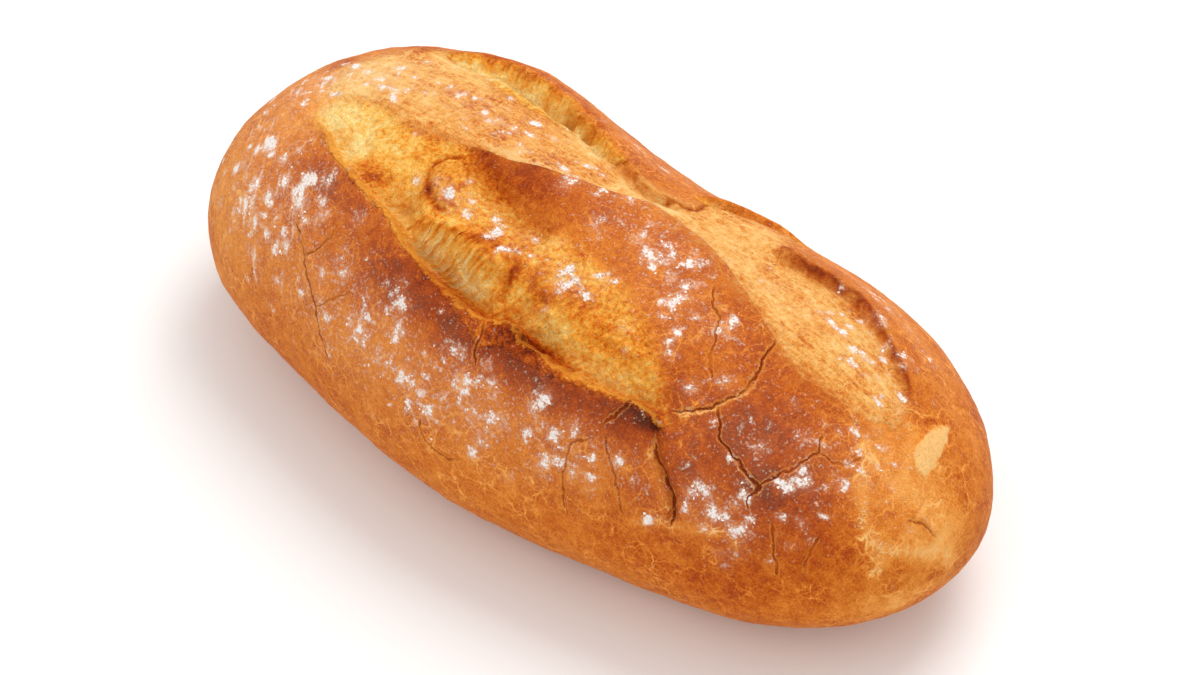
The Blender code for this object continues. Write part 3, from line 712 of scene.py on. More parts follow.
def bare_crumb(crust):
    """Marks where crumb and stretched skin show, and roughens them."""
    depths = [outline_depth(crust.places, outline) for outline in (NEAR_OPENING, FAR_OPENING, SLIT_OPENING)]
    crust.opened = np.maximum.reduce(depths).clip(-OUTLINE_REACH, OUTLINE_REACH)
    soft = ease((crust.places[:, 0] - 5) / 25) * ease((30 - np.abs(crust.places[:, 1] + 5)) / 20)
    inside = outline_depth(crust.places, STRETCHED).clip(-OUTLINE_REACH, OUTLINE_REACH)
    crust.stretched = inside * (1 - 0.5 * soft)
    crumb = ease(0.5 + (crust.opened + crust.torn) / (1.5 + crust.blur))
    crust.out += crumb * (0.6 * lumps(crust.points, 4.0, 3, 4.4) + 0.3 * lumps(crust.points, 1.8, 2, 8.8))
    drawn = crust.places * (1, GIRTH_STEP)
    stretched = lumps(np.column_stack([drawn[:, 0] / 7, drawn[:, 1] / 2.2, 0 * drawn[:, 0]]), 1.0, 3, 2.2)
    crust.out += 0.3 * ease(0.5 + crust.stretched / 6) * (1 - crumb) * stretched
    crust.amounts["toast_and_shade"] += 0.02 * ease(0.5 + crust.stretched / 6) - 0.14 * crumb


def flour_spots():
    """Soft patches of flour: drifts, clumps, and flakes that are scattered with a fixed seed."""
    rng = np.random.default_rng(FLAKE_SEED)
    spots = [*FLOURED, *((place, *CLUMP) for place in CLUMPS)]
    for middle, spread_along, spread_around, count in SPRINKLED:
        for place in rng.normal(middle, (spread_along, spread_around), (count, 2)):
            spots.append((place, *(rng.uniform(*least_and_most) for least_and_most in FLAKES)))
    return spots


def crust_amounts(crust):
    """How toasted, how darkened by painted shade in hollows, and how floured each point of the crust is."""
    amounts, places = crust.amounts, crust.places
    scorched = patches(places, [(place, radius, radius, amount) for place, radius, amount in SCORCHED])
    amounts["toast_and_shade"] += BAKED + patches(places, TOASTED_AND_SHADED) + 0.42 * scorched * (1 + 0.8 * crust.torn)
    amounts["toast_and_shade"] += 0.06 * lumps(crust.points, 26, 2, 1.1) + 0.07 * lumps(crust.points, 6, 2, 7.7)
    # Painted shade in the torn crumb's hollows; flour is kept out of it
    amounts["hollow"] = np.maximum(amounts["hollow"], patches(places, SHADED))
    kept = np.where(np.abs(places[:, 1]) > FLOUR_EDGE, LESS_FLOUR, 1.0)
    amounts["flour"] = patches(places, flour_spots()) * kept * (1 - amounts["hollow"])
    for name in amounts:
        amounts[name] = np.clip(amounts[name], 0, 1.5 if name == "flour" else 1)


# ---- Nodes ----


def add(tree, kind, *values, out=0, named=(), stops=(), **settings):
    """Adds a node, sets it up, and sets or links its inputs in the order in which they show. Returns an output."""
    kind, usual = kind if isinstance(kind, tuple) else (kind, {})
    made = tree.nodes.new(kind)
    for name, value in {**usual, **settings}.items():
        setattr(made, name, value)
    for _ in stops[2:]:
        made.color_ramp.elements.new(0.5)
    if stops:
        for element, (place, code) in zip(made.color_ramp.elements, stops, strict=True):
            element.position = place
            element.color = srgb(code)
    shown = [socket for socket in made.inputs if socket.enabled]
    for socket, value in [*zip(shown, values), *((made.inputs[name], value) for name, value in dict(named).items())]:
        if isinstance(value, bpy.types.NodeSocket):
            tree.links.new(value, socket)
        elif value is not None:
            socket.default_value = value
    if isinstance(out, str):
        return made.outputs[out]
    return [socket for socket in made.outputs if socket.enabled][out] if made.outputs else made


# ---- The loaf's mesh ----


def new_tree(name, inputs):
    """A Geometry Nodes tree with these named inputs, each with its kind of socket, and one output."""
    tree = bpy.data.node_groups.new(name, "GeometryNodeTree")
    for input_name, kind in inputs.items():
        tree.interface.new_socket(input_name, in_out="INPUT", socket_type="NodeSocket" + kind)
    tree.interface.new_socket("Geometry", in_out="OUTPUT", socket_type="NodeSocketGeometry")
    return tree


def block_mesh(counts):
    """A closed block whose faces are a grid, made by a Geometry Nodes tree."""
    sides = ("Faces Along", "Faces Across", "Faces Up")
    tree = new_tree("dough_block", dict.fromkeys(sides, "Int"))
    corners = [add(tree, PLUS, add(tree, "NodeGroupInput", out=i), 1.0) for i in range(3)]
    cube = add(tree, "GeometryNodeMeshCube", (2.0, 2.0, 2.0), *corners)
    add(tree, "NodeGroupOutput", cube)
    holder = bpy.data.objects.new("dough_block", bpy.data.meshes.new("dough_block"))
    return grown(holder, tree, dict(zip(sides, counts, strict=True)), "dough")


def grown(holder, tree, sizes, name):
    """The mesh that a Geometry Nodes tree makes of the holder. The holder is removed."""
    bpy.context.scene.collection.objects.link(holder)
    modifier = holder.modifiers.new(name, "NODES")
    modifier.node_group = tree
    for item in tree.interface.items_tree:
        if item.in_out == "INPUT" and item.name in sizes:
            modifier[item.identifier] = sizes[item.name]
    return evaluated_mesh(holder, name)


def evaluated_mesh(holder, name):
    """The holder's evaluated mesh on its own. The holder is removed."""
    mesh = bpy.data.meshes.new_from_object(holder.evaluated_get(bpy.context.evaluated_depsgraph_get()))
    mesh.name = name
    bpy.data.objects.remove(holder)
    if not len(mesh.polygons):
        raise RuntimeError(f"{name} came out empty")
    return mesh


def vectors(collection, name, count):
    found = np.empty(count * 3)
    collection.foreach_get(name, found)
    return found.reshape(-1, 3)


def shape_dough(mesh):
    """Turns the block into the dough. Returns its points and their (along, around) places."""
    corners = vectors(mesh.vertices, "co", len(mesh.vertices))
    spread = np.tan(corners * np.pi / 4)
    sizes = np.stack([np.full(len(corners), LENGTH / 2), np.full(len(corners), WIDTH / 2), rise(corners[:, 2])], 1)
    plain = plain_from(spread * sizes)
    places = np.stack([plain[:, 0], np.degrees(np.arctan2(plain[:, 1], plain[:, 2]))], 1)
    dough = slumped(plain)
    mesh.vertices.foreach_set("co", dough.ravel())
    mesh.update()
    return dough, places


def bake(mesh, crust):
    """Raises the crust's relief and stores its paint."""
    above_foot = ease(crust.points[:, 2] / (3 * FOOT_ROUNDING))
    normals = vectors(mesh.vertex_normals, "vector", len(mesh.vertices))
    uneven = 0.35 * lumps(crust.points, 16, 3) + 0.1 * lumps(crust.points, 4, 2, 3.3)
    out = (crust.out + uneven) * above_foot
    shaped = crust.points + normals * out[:, None] + crust.lean * above_foot[:, None]
    shaped[:, 2] = shaped[:, 2].clip(0)
    mesh.vertices.foreach_set("co", shaped.ravel())
    edges = {"opened": crust.opened, "stretched": crust.stretched, "blur": crust.blur, "rim": crust.rim}
    for name, values in {**crust.amounts, **edges}.items():
        layer = mesh.attributes.new(name, "FLOAT", "POINT")
        layer.data.foreach_set("value", values.astype(np.float32))
    lay = np.column_stack([crust.places[:, 0], crust.places[:, 1] * GIRTH_STEP, fibre_side(crust.places)])
    for name, values in (("lay", lay), ("crack_side", crust.crack_side), ("crack_near", crust.crack_near)):
        layer = mesh.attributes.new(name, "FLOAT_VECTOR", "POINT")
        layer.data.foreach_set("vector", values.astype(np.float32).ravel())
    mesh.update()


def thinned(mesh, triangles):
    holder = bpy.data.objects.new("thin", mesh)
    bpy.context.scene.collection.objects.link(holder)
    modifier = holder.modifiers.new("thin", "DECIMATE")
    modifier.ratio = min(1.0, triangles / (2 * len(mesh.polygons)))
    thin = evaluated_mesh(holder, "bread")
    bpy.data.meshes.remove(mesh)
    return thin


def settle(mesh):
    """Puts the loaf over its solid, in metres. Returns how far it moved."""
    points = vectors(mesh.vertices, "co", len(mesh.vertices)) * MM
    low, high = np.array(CAD_BOX[0]), np.array(CAD_BOX[1])
    move = (low + high - points.min(0) - points.max(0)) / 2
    move[2] = low[2] - points[:, 2].min()
    mesh.vertices.foreach_set("co", (points + move).ravel())
    mesh.update()
    return move


# ---- Finishes ----


def summed(tree, value, *parts):
    """The value, and added to it the fields of these (field, amount) pairs, each times its amount."""
    for field, amount in parts:
        value = add(tree, TIMES_PLUS, field, amount, value)
    return value


def varied(tree, value, *parts):
    """The value, raised and lowered by (field, amount) pairs, where 0.5 is the middle of a field."""
    return summed(tree, value, *((add(tree, MINUS, field, 0.5), amount) for field, amount in parts))


def torn_place(tree, place, lump_mm, reach_mm):
    """The place pushed about by lumps of this size, so that what is drawn with it looks torn."""
    pushes = add(tree, NOISE, place, METRE / lump_mm, 1.0, out="Color")
    pushes = add(tree, VECTOR, pushes, (0.5, 0.5, 0.5), operation="SUBTRACT")
    return add(tree, VECTOR, pushes, (reach_mm * MM,) * 3, place, operation="MULTIPLY_ADD")


def fibres(tree, lay, side, width_mm, length_mm, detail):
    """Strands of this size that run round the girth, from the lay attribute and the distance across them in mm."""
    girth = add(tree, AXES, lay, out="Y")
    across = add(tree, TIMES, side, 1 / width_mm)
    down = add(tree, TIMES, girth, 1 / length_mm)
    return add(tree, NOISE, add(tree, "ShaderNodeCombineXYZ", across, down), 1.0, detail, 0.66)


def flour_cover(tree, place, lay, amount, speck):
    """How much flour covers the crust: drifts, drawn out round the girth near the head, and scattered dabs."""
    at_head = add(tree, SOFT_RANGE, add(tree, AXES, lay), *HEAD_DRIFTS)
    clumps = add(tree, NOISE, place, METRE / CLUMP_SIZE, 1.5)
    dragged = add(tree, VECTOR, lay, (1.0, HEAD_SLANT, 0.0), operation="DOT_PRODUCT")
    clumps = add(tree, MIX, at_head, clumps, fibres(tree, lay, dragged, *DRAGGED, 1.5))
    drift = add(tree, TIMES, add(tree, NOISE, place, METRE / BLOTCH, 0.0), 0.25)
    drift = summed(tree, drift, (clumps, 0.62), (speck, 0.34))
    drift = add(tree, PLUS, drift, add(tree, TIMES_PLUS, amount, 0.25, -0.80))
    drift = add(tree, TIMES, drift, 5.0, use_clamp=True)
    dabs = add(tree, CELLS, torn_place(tree, place, 1.8, 3.0), METRE / DAB_SPACING, out="Distance")
    chance = add(tree, AXES, dabs.node.outputs["Color"])
    size = add(tree, MINUS, add(tree, TIMES_PLUS, amount, 0.8, 0.1), chance)
    size = add(tree, SMALLER, add(tree, TIMES, size, 0.8), 0.42)
    dab = add(tree, PLUS, add(tree, MINUS, size, dabs), -0.34)
    dab = add(tree, TIMES, summed(tree, dab, (speck, 0.7)), 3.2, use_clamp=True)
    return add(tree, LARGER, drift, dab)


def crackled(tree, place, toast_and_shade):
    """Fine pale seams round cells of 10 and 3.4 mm, fading out where the crust is darkest."""
    torn = torn_place(tree, place, 4.0, 5.0)
    seams = []
    for size, width, amount in CRACKLE:
        cells = add(tree, CELLS, torn, METRE / size, feature="DISTANCE_TO_EDGE")
        seams.append((add(tree, SOFT_RANGE, cells, width, 0.0), amount))
    light = add(tree, SOFT_RANGE, toast_and_shade, 0.85, 0.6)
    return add(tree, TIMES, summed(tree, 0.0, *seams), light)


def blank_material(name):
    material = bpy.data.materials.new(name)
    material.use_nodes = True
    material.node_tree.nodes.clear()
    return material, material.node_tree


def crust_finish():
    """Baked semolina crust: dull, toasted by the oven from straw to red-brown, mottled, and finely wrinkled. Its torn
    crumb is drier and more yellow, with drawn strands, and flour lies on it as a chalky, broken film."""
    material, tree = blank_material("baked_semolina_crust")
    place = add(tree, "ShaderNodeTexCoord", out="Object")
    paint = {name: add(tree, "ShaderNodeAttribute", attribute_name=name, out="Fac") for name in PAINT}
    lay, crack_side, crack_near = (
        add(tree, "ShaderNodeAttribute", attribute_name=name, out="Vector")
        for name in ("lay", "crack_side", "crack_near")
    )
    blotch = add(tree, NOISE, place, METRE / BLOTCH, 2.0)
    mottle = add(tree, NOISE, place, METRE / MOTTLE, 3.0, 0.65)
    speck = add(tree, NOISE, place, *SPECKS)
    rubble = add(tree, NOISE, place, METRE / RUBBLE, 4.0, 0.7)
    strand = fibres(tree, lay, add(tree, AXES, lay, out="Z"), *STRAND, 3.0)
    streaks = add(tree, VECTOR, lay, (1 / STREAK[0], 1 / STREAK[1], 0.0), operation="MULTIPLY")
    streak = add(tree, NOISE, streaks, 1.0, 3.0, 0.65)

    # Where crumb and skin show, with torn edges
    reach = add(tree, TIMES_PLUS, paint["blur"], 1.3, 2.2)
    depth = varied(tree, paint["opened"], (mottle, reach))
    crumb = add(tree, PLUS, add(tree, OVER, depth, paint["blur"]), 0.5, use_clamp=True)
    skin = add(tree, SOFT_RANGE, varied(tree, paint["stretched"], (mottle, 16.0)), -3.5, 4.5)
    bare = add(tree, LARGER, crumb, skin)
    crusty = add(tree, MINUS, 1.0, crumb)

    # How toasted it is, with the painted shade of grooves, raised edges and the tongue's side that is added to the
    # toast
    toast_and_shade = varied(tree, paint["toast_and_shade"], (blotch, 0.34), (mottle, 0.46), (speck, 0.4))
    patchy = add(tree, TIMES_PLUS, blotch, 4.0, -1.6, use_clamp=True)
    seams = add(tree, TIMES, crackled(tree, place, toast_and_shade), crusty)
    for share in (add(tree, TIMES_PLUS, paint["pale"], 2.0, 1.0), patchy):
        seams = add(tree, TIMES, seams, share)
    toast_and_shade = summed(tree, toast_and_shade, (seams, -0.2), (paint["pale"], -0.25))
    drawn = add(tree, MIX, paint["drawn"], rubble, strand)
    torn_toast = varied(tree, toast_and_shade, (drawn, 1.2))
    skin_toast = varied(tree, toast_and_shade, (streak, 0.6), (blotch, 0.5), (rubble, 0.8))
    colour = add(tree, RAMP, toast_and_shade, stops=CRUST_COLOURS)
    for share, tone, stops in ((skin, skin_toast, SKIN_COLOURS), (crumb, torn_toast, CRUMB_COLOURS)):
        colour = add(tree, COLOUR_MIX, share, colour, add(tree, RAMP, tone, stops=stops))

    # Bleached seams, the torn rim, painted shade in the hollows and the pores
    grainy = summed(tree, varied(tree, paint["pale"], (speck, 1.3), (mottle, 1.6)), (seams, 0.3))
    grainy = add(tree, SOFT_RANGE, grainy, 0.45, 0.95, 0.0, 0.8)
    colour = add(tree, COLOUR_MIX, grainy, colour, srgb(SEAM_COLOUR))
    inside = varied(tree, paint["rim"], (speck, 2.4), (mottle, 3.0))
    outer = add(tree, SOFT_RANGE, inside, -1.0, -0.3)
    inner = add(tree, SOFT_RANGE, inside, 1.6, 0.5, 0.0, 0.8)
    colour = add(tree, COLOUR_MIX, add(tree, TIMES, outer, inner), colour, srgb(RIM_COLOUR))
    # Painted shade: the colour is darkened towards HOLLOW_SHADE where the hollow shade attribute is high
    shaded = add(tree, COLOUR_MIX, 1.0, colour, srgb(HOLLOW_SHADE), blend_type="MULTIPLY")
    colour = add(tree, COLOUR_MIX, add(tree, TIMES, paint["hollow"], 0.9), colour, shaded)
    pores = add(tree, CELLS, place, METRE / PORE_SPACING, out="Distance")
    chance = add(tree, AXES, pores.node.outputs["Color"])
    size = add(tree, TIMES, add(tree, MINUS, chance, 0.62), 0.6)
    pore = add(tree, TIMES, add(tree, MINUS, size, pores), 9.0, use_clamp=True)
    where = add(tree, TIMES, bare, add(tree, RANGE, mottle, 0.42, 0.6, 0.0, 0.7))
    colour = add(tree, COLOUR_MIX, add(tree, TIMES, pore, where), colour, srgb(PORE_COLOUR))

    # Cracks: lighter beside, dark inside, with jagged sides
    jagged = add(tree, MINUS, mottle, 0.5)
    beside = add(tree, VECTOR, jagged, (7.0,) * 3, crack_side, operation="MULTIPLY_ADD")
    beside = add(tree, VECTOR, beside, operation="ABSOLUTE")
    found = []
    for far, close in CRACK_BANDS:
        band = add(tree, SOFT_RANGE, beside, (far,) * 3, (close,) * 3, data_type="FLOAT_VECTOR")
        found.append(add(tree, VECTOR, band, crack_near, operation="DOT_PRODUCT"))
    outer, inner, core = found
    lit = add(tree, TIMES_PLUS, mottle, 1.8, -0.4, use_clamp=True)
    lit = add(tree, TIMES, add(tree, MINUS, outer, inner), lit, use_clamp=True)
    colour = add(tree, COLOUR_MIX, lit, colour, srgb(CRACK_SIDE_COLOUR))
    broken = add(tree, TIMES_PLUS, blotch, 3.0, -0.6, use_clamp=True)
    core = add(tree, TIMES, core, broken, use_clamp=True)
    colour = add(tree, COLOUR_MIX, add(tree, TIMES, core, 0.85), colour, srgb(CRACK_COLOUR))

    # Flour: a broken film, dust between its lumps, and a thin haze
    flour = flour_cover(tree, place, lay, paint["flour"], speck)
    film = add(tree, TIMES_PLUS, speck, 1.4, 0.3, use_clamp=True)
    film = add(tree, TIMES, add(tree, POWER, flour, 1.4), film)
    dust = add(tree, PLUS, add(tree, NOISE, place, METRE / DUST, 1.0, 0.7), add(tree, TIMES, mottle, 0.35))
    dust = add(tree, SOFT_RANGE, summed(tree, dust, (paint["flour"], 0.22)), 0.84, 1.04, 0.0, 0.42)
    haze = add(tree, TIMES, paint["flour"], add(tree, TIMES, blotch, 0.26))
    cover = add(tree, LARGER, add(tree, LARGER, film, dust), haze)
    cover = add(tree, TIMES, cover, add(tree, MINUS, 1.0, core))
    colour = add(tree, COLOUR_MIX, cover, colour, add(tree, RAMP, cover, stops=FLOUR_COLOURS))

    # Relief in mm: wrinkles, mottles, torn crumb, stretched skin, and the cracks
    ridges = add(tree, UNSIGNED, add(tree, TIMES_PLUS, speck, 2.0, -1.0))
    torn = ((drawn, crumb, 1.1), (speck, crumb, 0.4), (streak, skin, 0.5), (rubble, skin, 0.7))
    torn = [(add(tree, TIMES, field, mask), amount) for field, mask, amount in torn]
    height = summed(tree, add(tree, TIMES, ridges, -0.6), (mottle, 1.2), *torn, (core, -0.3))
    bump = add(tree, "ShaderNodeBump", named={"Strength": 1.0, "Distance": MM, "Height": height})
    dull = add(tree, TIMES_PLUS, add(tree, LARGER, crumb, cover), 0.42, 0.5)
    shader = add(tree, "ShaderNodeBsdfPrincipled", named={
        "Base Color": colour, "Roughness": dull, "Normal": bump, "IOR": 1.45, "Specular IOR Level": 0.07,
    })
    add(tree, "ShaderNodeOutputMaterial", shader)
    return material


def plain_finish(name, stops, lump_mm, roughness):
    """A dull, dry finish of one tone that varies in lumps of this size."""
    material, tree = blank_material(name)
    tone = add(tree, NOISE, add(tree, "ShaderNodeTexCoord", out="Object"), METRE / lump_mm, 2.0)
    shader = add(tree, "ShaderNodeBsdfPrincipled", named={
        "Base Color": add(tree, RAMP, tone, stops=stops), "Roughness": roughness, "Specular IOR Level": 0.2,
    })
    add(tree, "ShaderNodeOutputMaterial", shader)
    return material


def dress(mesh):
    """Makes the mesh a finished piece that stands for the loaf's solid."""
    piece = bpy.data.objects.new(mesh.name, mesh)
    bpy.context.scene.collection.objects.link(piece)
    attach(piece, BODY)
    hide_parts(NODE)


# ---- Sizes and operators ----


class LoafSettings(bpy.types.PropertyGroup):
    lump_width: bpy.props.FloatProperty(
        name="Flour lump", description="Usual width of a lump of flour", default=0.85 * MM, subtype="DISTANCE",
        unit="LENGTH",
    )
    lump_density: bpy.props.FloatProperty(
        name="Flour lumps", description="Lumps on each square centimetre of floured crust", default=22.0
    )
    strand_width: bpy.props.FloatProperty(
        name="Strand", description="Width of a strand of crumb in the near cut", default=0.36 * MM, subtype="DISTANCE",
        unit="LENGTH",
    )
    strand_count: bpy.props.IntProperty(name="Strands", description="Strands of crumb in the near cut", default=16)
    triangles: bpy.props.IntProperty(name="Triangles", description="Triangles in the loaf's mesh", default=196000)
    key_power: bpy.props.FloatProperty(
        name="Key light", description="Power of the high light", default=7.3, unit="POWER"
    )
    fill_power: bpy.props.FloatProperty(
        name="Fill light", description="Power of the low light", default=4.0, unit="POWER"
    )
    table_colour: bpy.props.FloatVectorProperty(
        name="Table", description="Colour of the table", default=srgb("#F4F3F1")[:3], subtype="COLOR", size=3
    )


class LOAF_OT_bread(bpy.types.Operator):
    """Shape the dough, open its cuts, and bake its crust"""

    bl_idname = "loaf.bread"
    bl_label = "Bread"

    def execute(self, context):
        mesh = block_mesh(BLOCK)
        crust = Crust(*shape_dough(mesh))
        open_near_cut(crust)
        open_other_cuts(crust)
        split_crust(crust)
        for place, along, around, height in BUMPS:
            crust.bump(place, along, around, height)
        bare_crumb(crust)
        crust_amounts(crust)
        bake(mesh, crust)
        mesh = thinned(mesh, context.scene.loaf_settings.triangles)
        mesh["move"] = settle(mesh).tolist()
        mesh.shade_smooth()
        mesh.materials.clear()
        mesh.materials.append(crust_finish())
        dress(mesh)
        return {"FINISHED"}


def lumps_tree(material):
    """Scatters flattened lumps where the flour lies thickest."""
    inputs = {"Geometry": "Geometry", "Lump Width": "Float", "Lumps per Square Metre": "Float"}
    tree = new_tree("flour_lumps", inputs)
    bread = add(tree, "NodeGroupInput")
    width, density = bread.node.outputs[1], bread.node.outputs[2]
    place = add(tree, "GeometryNodeInputPosition")
    amount = add(tree, "GeometryNodeInputNamedAttribute", "flour", data_type="FLOAT")
    lay = add(tree, "GeometryNodeInputNamedAttribute", "lay", data_type="FLOAT_VECTOR")
    speck = add(tree, NOISE, place, *SPECKS)
    cover = flour_cover(tree, place, lay, amount, speck)
    density = add(tree, TIMES, add(tree, POWER, cover, 3.0), density)
    scattered = {"Mesh": bread, "Density": density, "Seed": LUMP_SEED}
    points = add(tree, "GeometryNodeDistributePointsOnFaces", named=scattered)
    ball = add(tree, "GeometryNodeMeshIcoSphere", 0.5, 1)
    dents = add(tree, VECTOR, add(tree, NOISE, None, 1.3, 1.0, out="Color"), (0.5, 0.5, 0.5), operation="SUBTRACT")
    dents = add(tree, VECTOR, dents, 0.8, operation="SCALE")
    ball = add(tree, "GeometryNodeSetPosition", named={"Geometry": ball, "Offset": dents})
    size, spin = (
        add(tree, "FunctionNodeRandomValue", least, most, named={"Seed": seed}, data_type="FLOAT_VECTOR")
        for least, most, seed in (
            ((0.55, 0.5, 0.28), (1.7, 1.2, 0.62), LUMP_SIZE_SEED),
            ((0.0, 0.0, 0.0), (0.0, 0.0, 6.28), LUMP_TURN_SEED),
        )
    )
    size = add(tree, VECTOR, size, width, operation="SCALE")
    turned = add(tree, "FunctionNodeRotateRotation", points.node.outputs["Rotation"],
                 add(tree, "FunctionNodeEulerToRotation", spin), rotation_space="LOCAL")
    laid = {"Points": points, "Instance": ball, "Rotation": turned, "Scale": size}
    real = add(tree, "GeometryNodeRealizeInstances", add(tree, "GeometryNodeInstanceOnPoints", named=laid))
    add(tree, "NodeGroupOutput", add(tree, "GeometryNodeSetMaterial", named={"Geometry": real, "Material": material}))
    return tree


class LOAF_OT_flour(bpy.types.Operator):
    """Scatter lumps of flour on the crust"""

    bl_idname = "loaf.flour"
    bl_label = "Flour"

    def execute(self, context):
        settings = context.scene.loaf_settings
        # Wheat flour baked on: chalk white, warm and quite dull
        material = plain_finish("baked_flour", ((0.3, "#EADCD0"), (0.7, "#F8F1EB")), 2.5, 0.95)
        holder = bpy.data.objects.new("flour", bpy.data.objects["bread"].data)
        density = settings.lump_density * SQUARE_METRE
        sizes = {"Lump Width": settings.lump_width, "Lumps per Square Metre": density}
        dress(grown(holder, lumps_tree(material), sizes, "flour"))
        return {"FINISHED"}


def strands_tree(material):
    """Turns lines into strands that taper by their own width."""
    tree = new_tree("crumb_strands", {"Geometry": "Geometry", "Strand Width": "Float"})
    lines = add(tree, "NodeGroupInput")
    taper = add(tree, "GeometryNodeInputNamedAttribute", "taper", data_type="FLOAT")
    half = add(tree, TIMES, add(tree, TIMES, taper, lines.node.outputs[1]), 0.5)
    curves = add(tree, "GeometryNodeMeshToCurve", lines)
    ring = add(tree, "GeometryNodeCurvePrimitiveCircle", 5, 1.0)
    real = add(tree, "GeometryNodeRealizeInstances", add(tree, "GeometryNodeCurveToMesh", curves, ring, half, True))
    add(tree, "NodeGroupOutput", add(tree, "GeometryNodeSetMaterial", named={"Geometry": real, "Material": material}))
    return tree


def strand_lines(bread, count):
    """Points along lines from the near lip over its groove to the crest, how thick each is there, and their edges."""
    rng = np.random.default_rng(STRAND_SEED)
    surface = BVHTree.FromPolygons([v.co for v in bread.vertices], [p.vertices for p in bread.polygons])
    move = np.array(bread["move"])
    points, taper, edges = [], [], []
    steps = np.linspace(0, 1, STRAND_POINTS)
    for _ in range(count):
        along = rng.choice(STRAND_PLACES) + rng.uniform(-3, 3)
        lip = np.interp(along, *np.array(NEAR_LIP).T)
        low = lip + rng.uniform(3, 5)
        high = low + rng.uniform(7, 11)
        around = low + (high - low) * steps
        side = along + SLANT * GIRTH_STEP * (around - low) + rng.uniform(-1.5, 1.5) * steps**2
        starts, out = on_dough(side, around)
        found = []
        for start, way in zip(starts * MM + move, out, strict=True):
            hit = surface.ray_cast(Vector(start + way * FROM_OUTSIDE), Vector(-way))[0]
            found.append(np.array(hit) if hit is not None else start)
        found = np.array(found)
        chord = found[0] + (found[-1] - found[0]) * steps[:, None]
        bridged = found * 0.75 + chord * 0.25
        above = ((bridged - found) * out).sum(1).clip(-0.1 * MM, 1.2 * MM)
        rise_by = above + rng.uniform(0.1, 0.35) * MM * np.sin(np.pi * steps) - SUNK
        first = len(points)
        points.extend(found + out * rise_by[:, None])
        taper.extend(rng.uniform(0.5, 1.2) * (0.35 + 0.65 * np.sin(np.pi * (0.08 + 0.84 * steps))))
        edges.extend((first + i, first + i + 1) for i in range(len(steps) - 1))
    return points, taper, edges


class LOAF_OT_strands(bpy.types.Operator):
    """Draw strands of crumb across the near cut"""

    bl_idname = "loaf.strands"
    bl_label = "Strands"

    def execute(self, context):
        settings = context.scene.loaf_settings
        points, taper, edges = strand_lines(bpy.data.objects["bread"].data, settings.strand_count)
        mesh = bpy.data.meshes.new("strand_lines")
        mesh.from_pydata(points, edges, [])
        mesh.attributes.new("taper", "FLOAT", "POINT").data.foreach_set("value", taper)
        # Dry crumb drawn out as the loaf opened: pale gold, quite dull
        material = plain_finish("drawn_semolina_crumb", ((0.35, "#CC7A16"), (0.65, "#F2B444")), 3.0, 0.9)
        holder = bpy.data.objects.new("strands", mesh)
        dress(grown(holder, strands_tree(material), {"Strand Width": settings.strand_width}, "strands"))
        return {"FINISHED"}


# The photograph's view: the camera looks down by this angle from the near flank's heel side
AZIMUTH, ELEVATION = 43, 45
LENS, SENSOR, DISTANCE = 100, 36, 1.099  # lens and sensor width in mm, distance in m
LOOK_AT = (0, 0.0019, 0.045)
LOOK_RIGHT, LOOK_UP = 0.00275, -0.00333
TABLE_SIZE = 6  # m
KEY_DISTANCE, KEY_SIZE, FILL_DISTANCE, FILL_SIZE = 1.1, 0.7, 1.4, 1.2  # m
ROOM_LIGHT = 0.8


def camera_axes():
    turn, tilt = np.radians(AZIMUTH), np.radians(ELEVATION)
    back = Vector((np.sin(turn) * np.cos(tilt), -np.cos(turn) * np.cos(tilt), np.sin(tilt)))
    right = Vector((np.cos(turn), np.sin(turn), 0))
    return right, back.cross(right), back


def add_camera(scene):
    right, up, back = camera_axes()
    camera = bpy.data.cameras.new("camera")
    camera.lens = LENS
    camera.sensor_width = SENSOR
    camera.sensor_fit = "HORIZONTAL"
    holder = bpy.data.objects.new("camera", camera)
    holder.matrix_world = Matrix((right, up, back)).transposed().to_4x4()
    holder.location = Vector(LOOK_AT) + right * LOOK_RIGHT + up * LOOK_UP + back * DISTANCE
    scene.collection.objects.link(holder)
    scene.camera = holder


def add_softbox(scene, name, direction, distance, size, power):
    lamp = bpy.data.lights.new(name, "AREA")
    lamp.size = size
    lamp.energy = power
    holder = bpy.data.objects.new(name, lamp)
    toward = Vector(direction).normalized()
    holder.location = Vector(LOOK_AT) + toward * distance
    holder.rotation_euler = toward.to_track_quat("Z", "Y").to_euler()
    scene.collection.objects.link(holder)


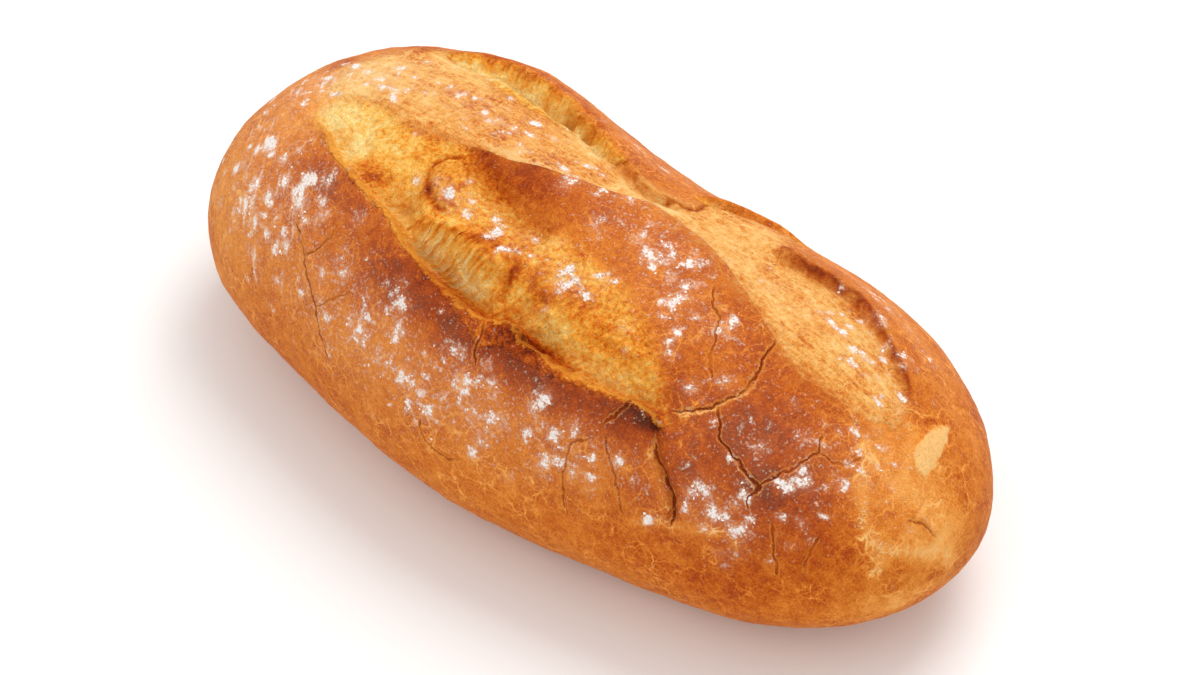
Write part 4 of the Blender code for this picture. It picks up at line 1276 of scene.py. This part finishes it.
class LOAF_OT_stage(bpy.types.Operator):
    """Set the table, the soft studio light and the camera"""

    bl_idname = "loaf.stage"
    bl_label = "Table, light and camera"

    def execute(self, context):
        scene, settings = context.scene, context.scene.loaf_settings
        bpy.ops.mesh.primitive_plane_add(size=TABLE_SIZE)
        table = context.object
        table.name = "table"
        # Matt white paper: flat and without gloss
        material = bpy.data.materials.new("matt_paper")
        material.use_nodes = True
        shader = material.node_tree.nodes["Principled BSDF"]
        shader.inputs["Base Color"].default_value = (*settings.table_colour, 1)
        shader.inputs["Roughness"].default_value = 0.9
        table.data.materials.append(material)
        right, up, back = camera_axes()
        above, beside = back * 0.35 + up * 0.8 + right * 0.25, back + right * -0.4
        add_softbox(scene, "key", above, KEY_DISTANCE, KEY_SIZE, settings.key_power)
        add_softbox(scene, "fill", beside, FILL_DISTANCE, FILL_SIZE, settings.fill_power)
        world = bpy.data.worlds.new("studio")
        world.use_nodes = True
        sky = world.node_tree.nodes["Background"].inputs
        sky["Color"].default_value = (1, 1, 1, 1)
        sky["Strength"].default_value = ROOM_LIGHT
        scene.world = world
        scene.view_settings.view_transform = "Standard"
        add_camera(scene)
        return {"FINISHED"}


class LOAF_PT_panel(bpy.types.Panel):
    bl_idname = "LOAF_PT_panel"
    bl_label = "Semolina Loaf"
    bl_space_type = "VIEW_3D"
    bl_region_type = "UI"
    bl_category = "Loaf"

    def draw(self, context):
        settings = context.scene.loaf_settings
        for name in LoafSettings.__annotations__:
            self.layout.prop(settings, name)
        for operator in OPERATORS:
            self.layout.operator(operator.bl_idname)


OPERATORS = (LOAF_OT_bread, LOAF_OT_flour, LOAF_OT_strands, LOAF_OT_stage)
CLASSES = (LoafSettings, *OPERATORS, LOAF_PT_panel)


def register():
    for kind in CLASSES:
        bpy.utils.register_class(kind)
    bpy.types.Scene.loaf_settings = bpy.props.PointerProperty(type=LoafSettings)


def unregister():
    del bpy.types.Scene.loaf_settings
    for kind in reversed(CLASSES):
        bpy.utils.unregister_class(kind)


def main():
    register()
    for operator in (bpy.ops.loaf.bread, bpy.ops.loaf.flour, bpy.ops.loaf.strands, bpy.ops.loaf.stage):
        operator()


if __name__ == "__main__":
    main()
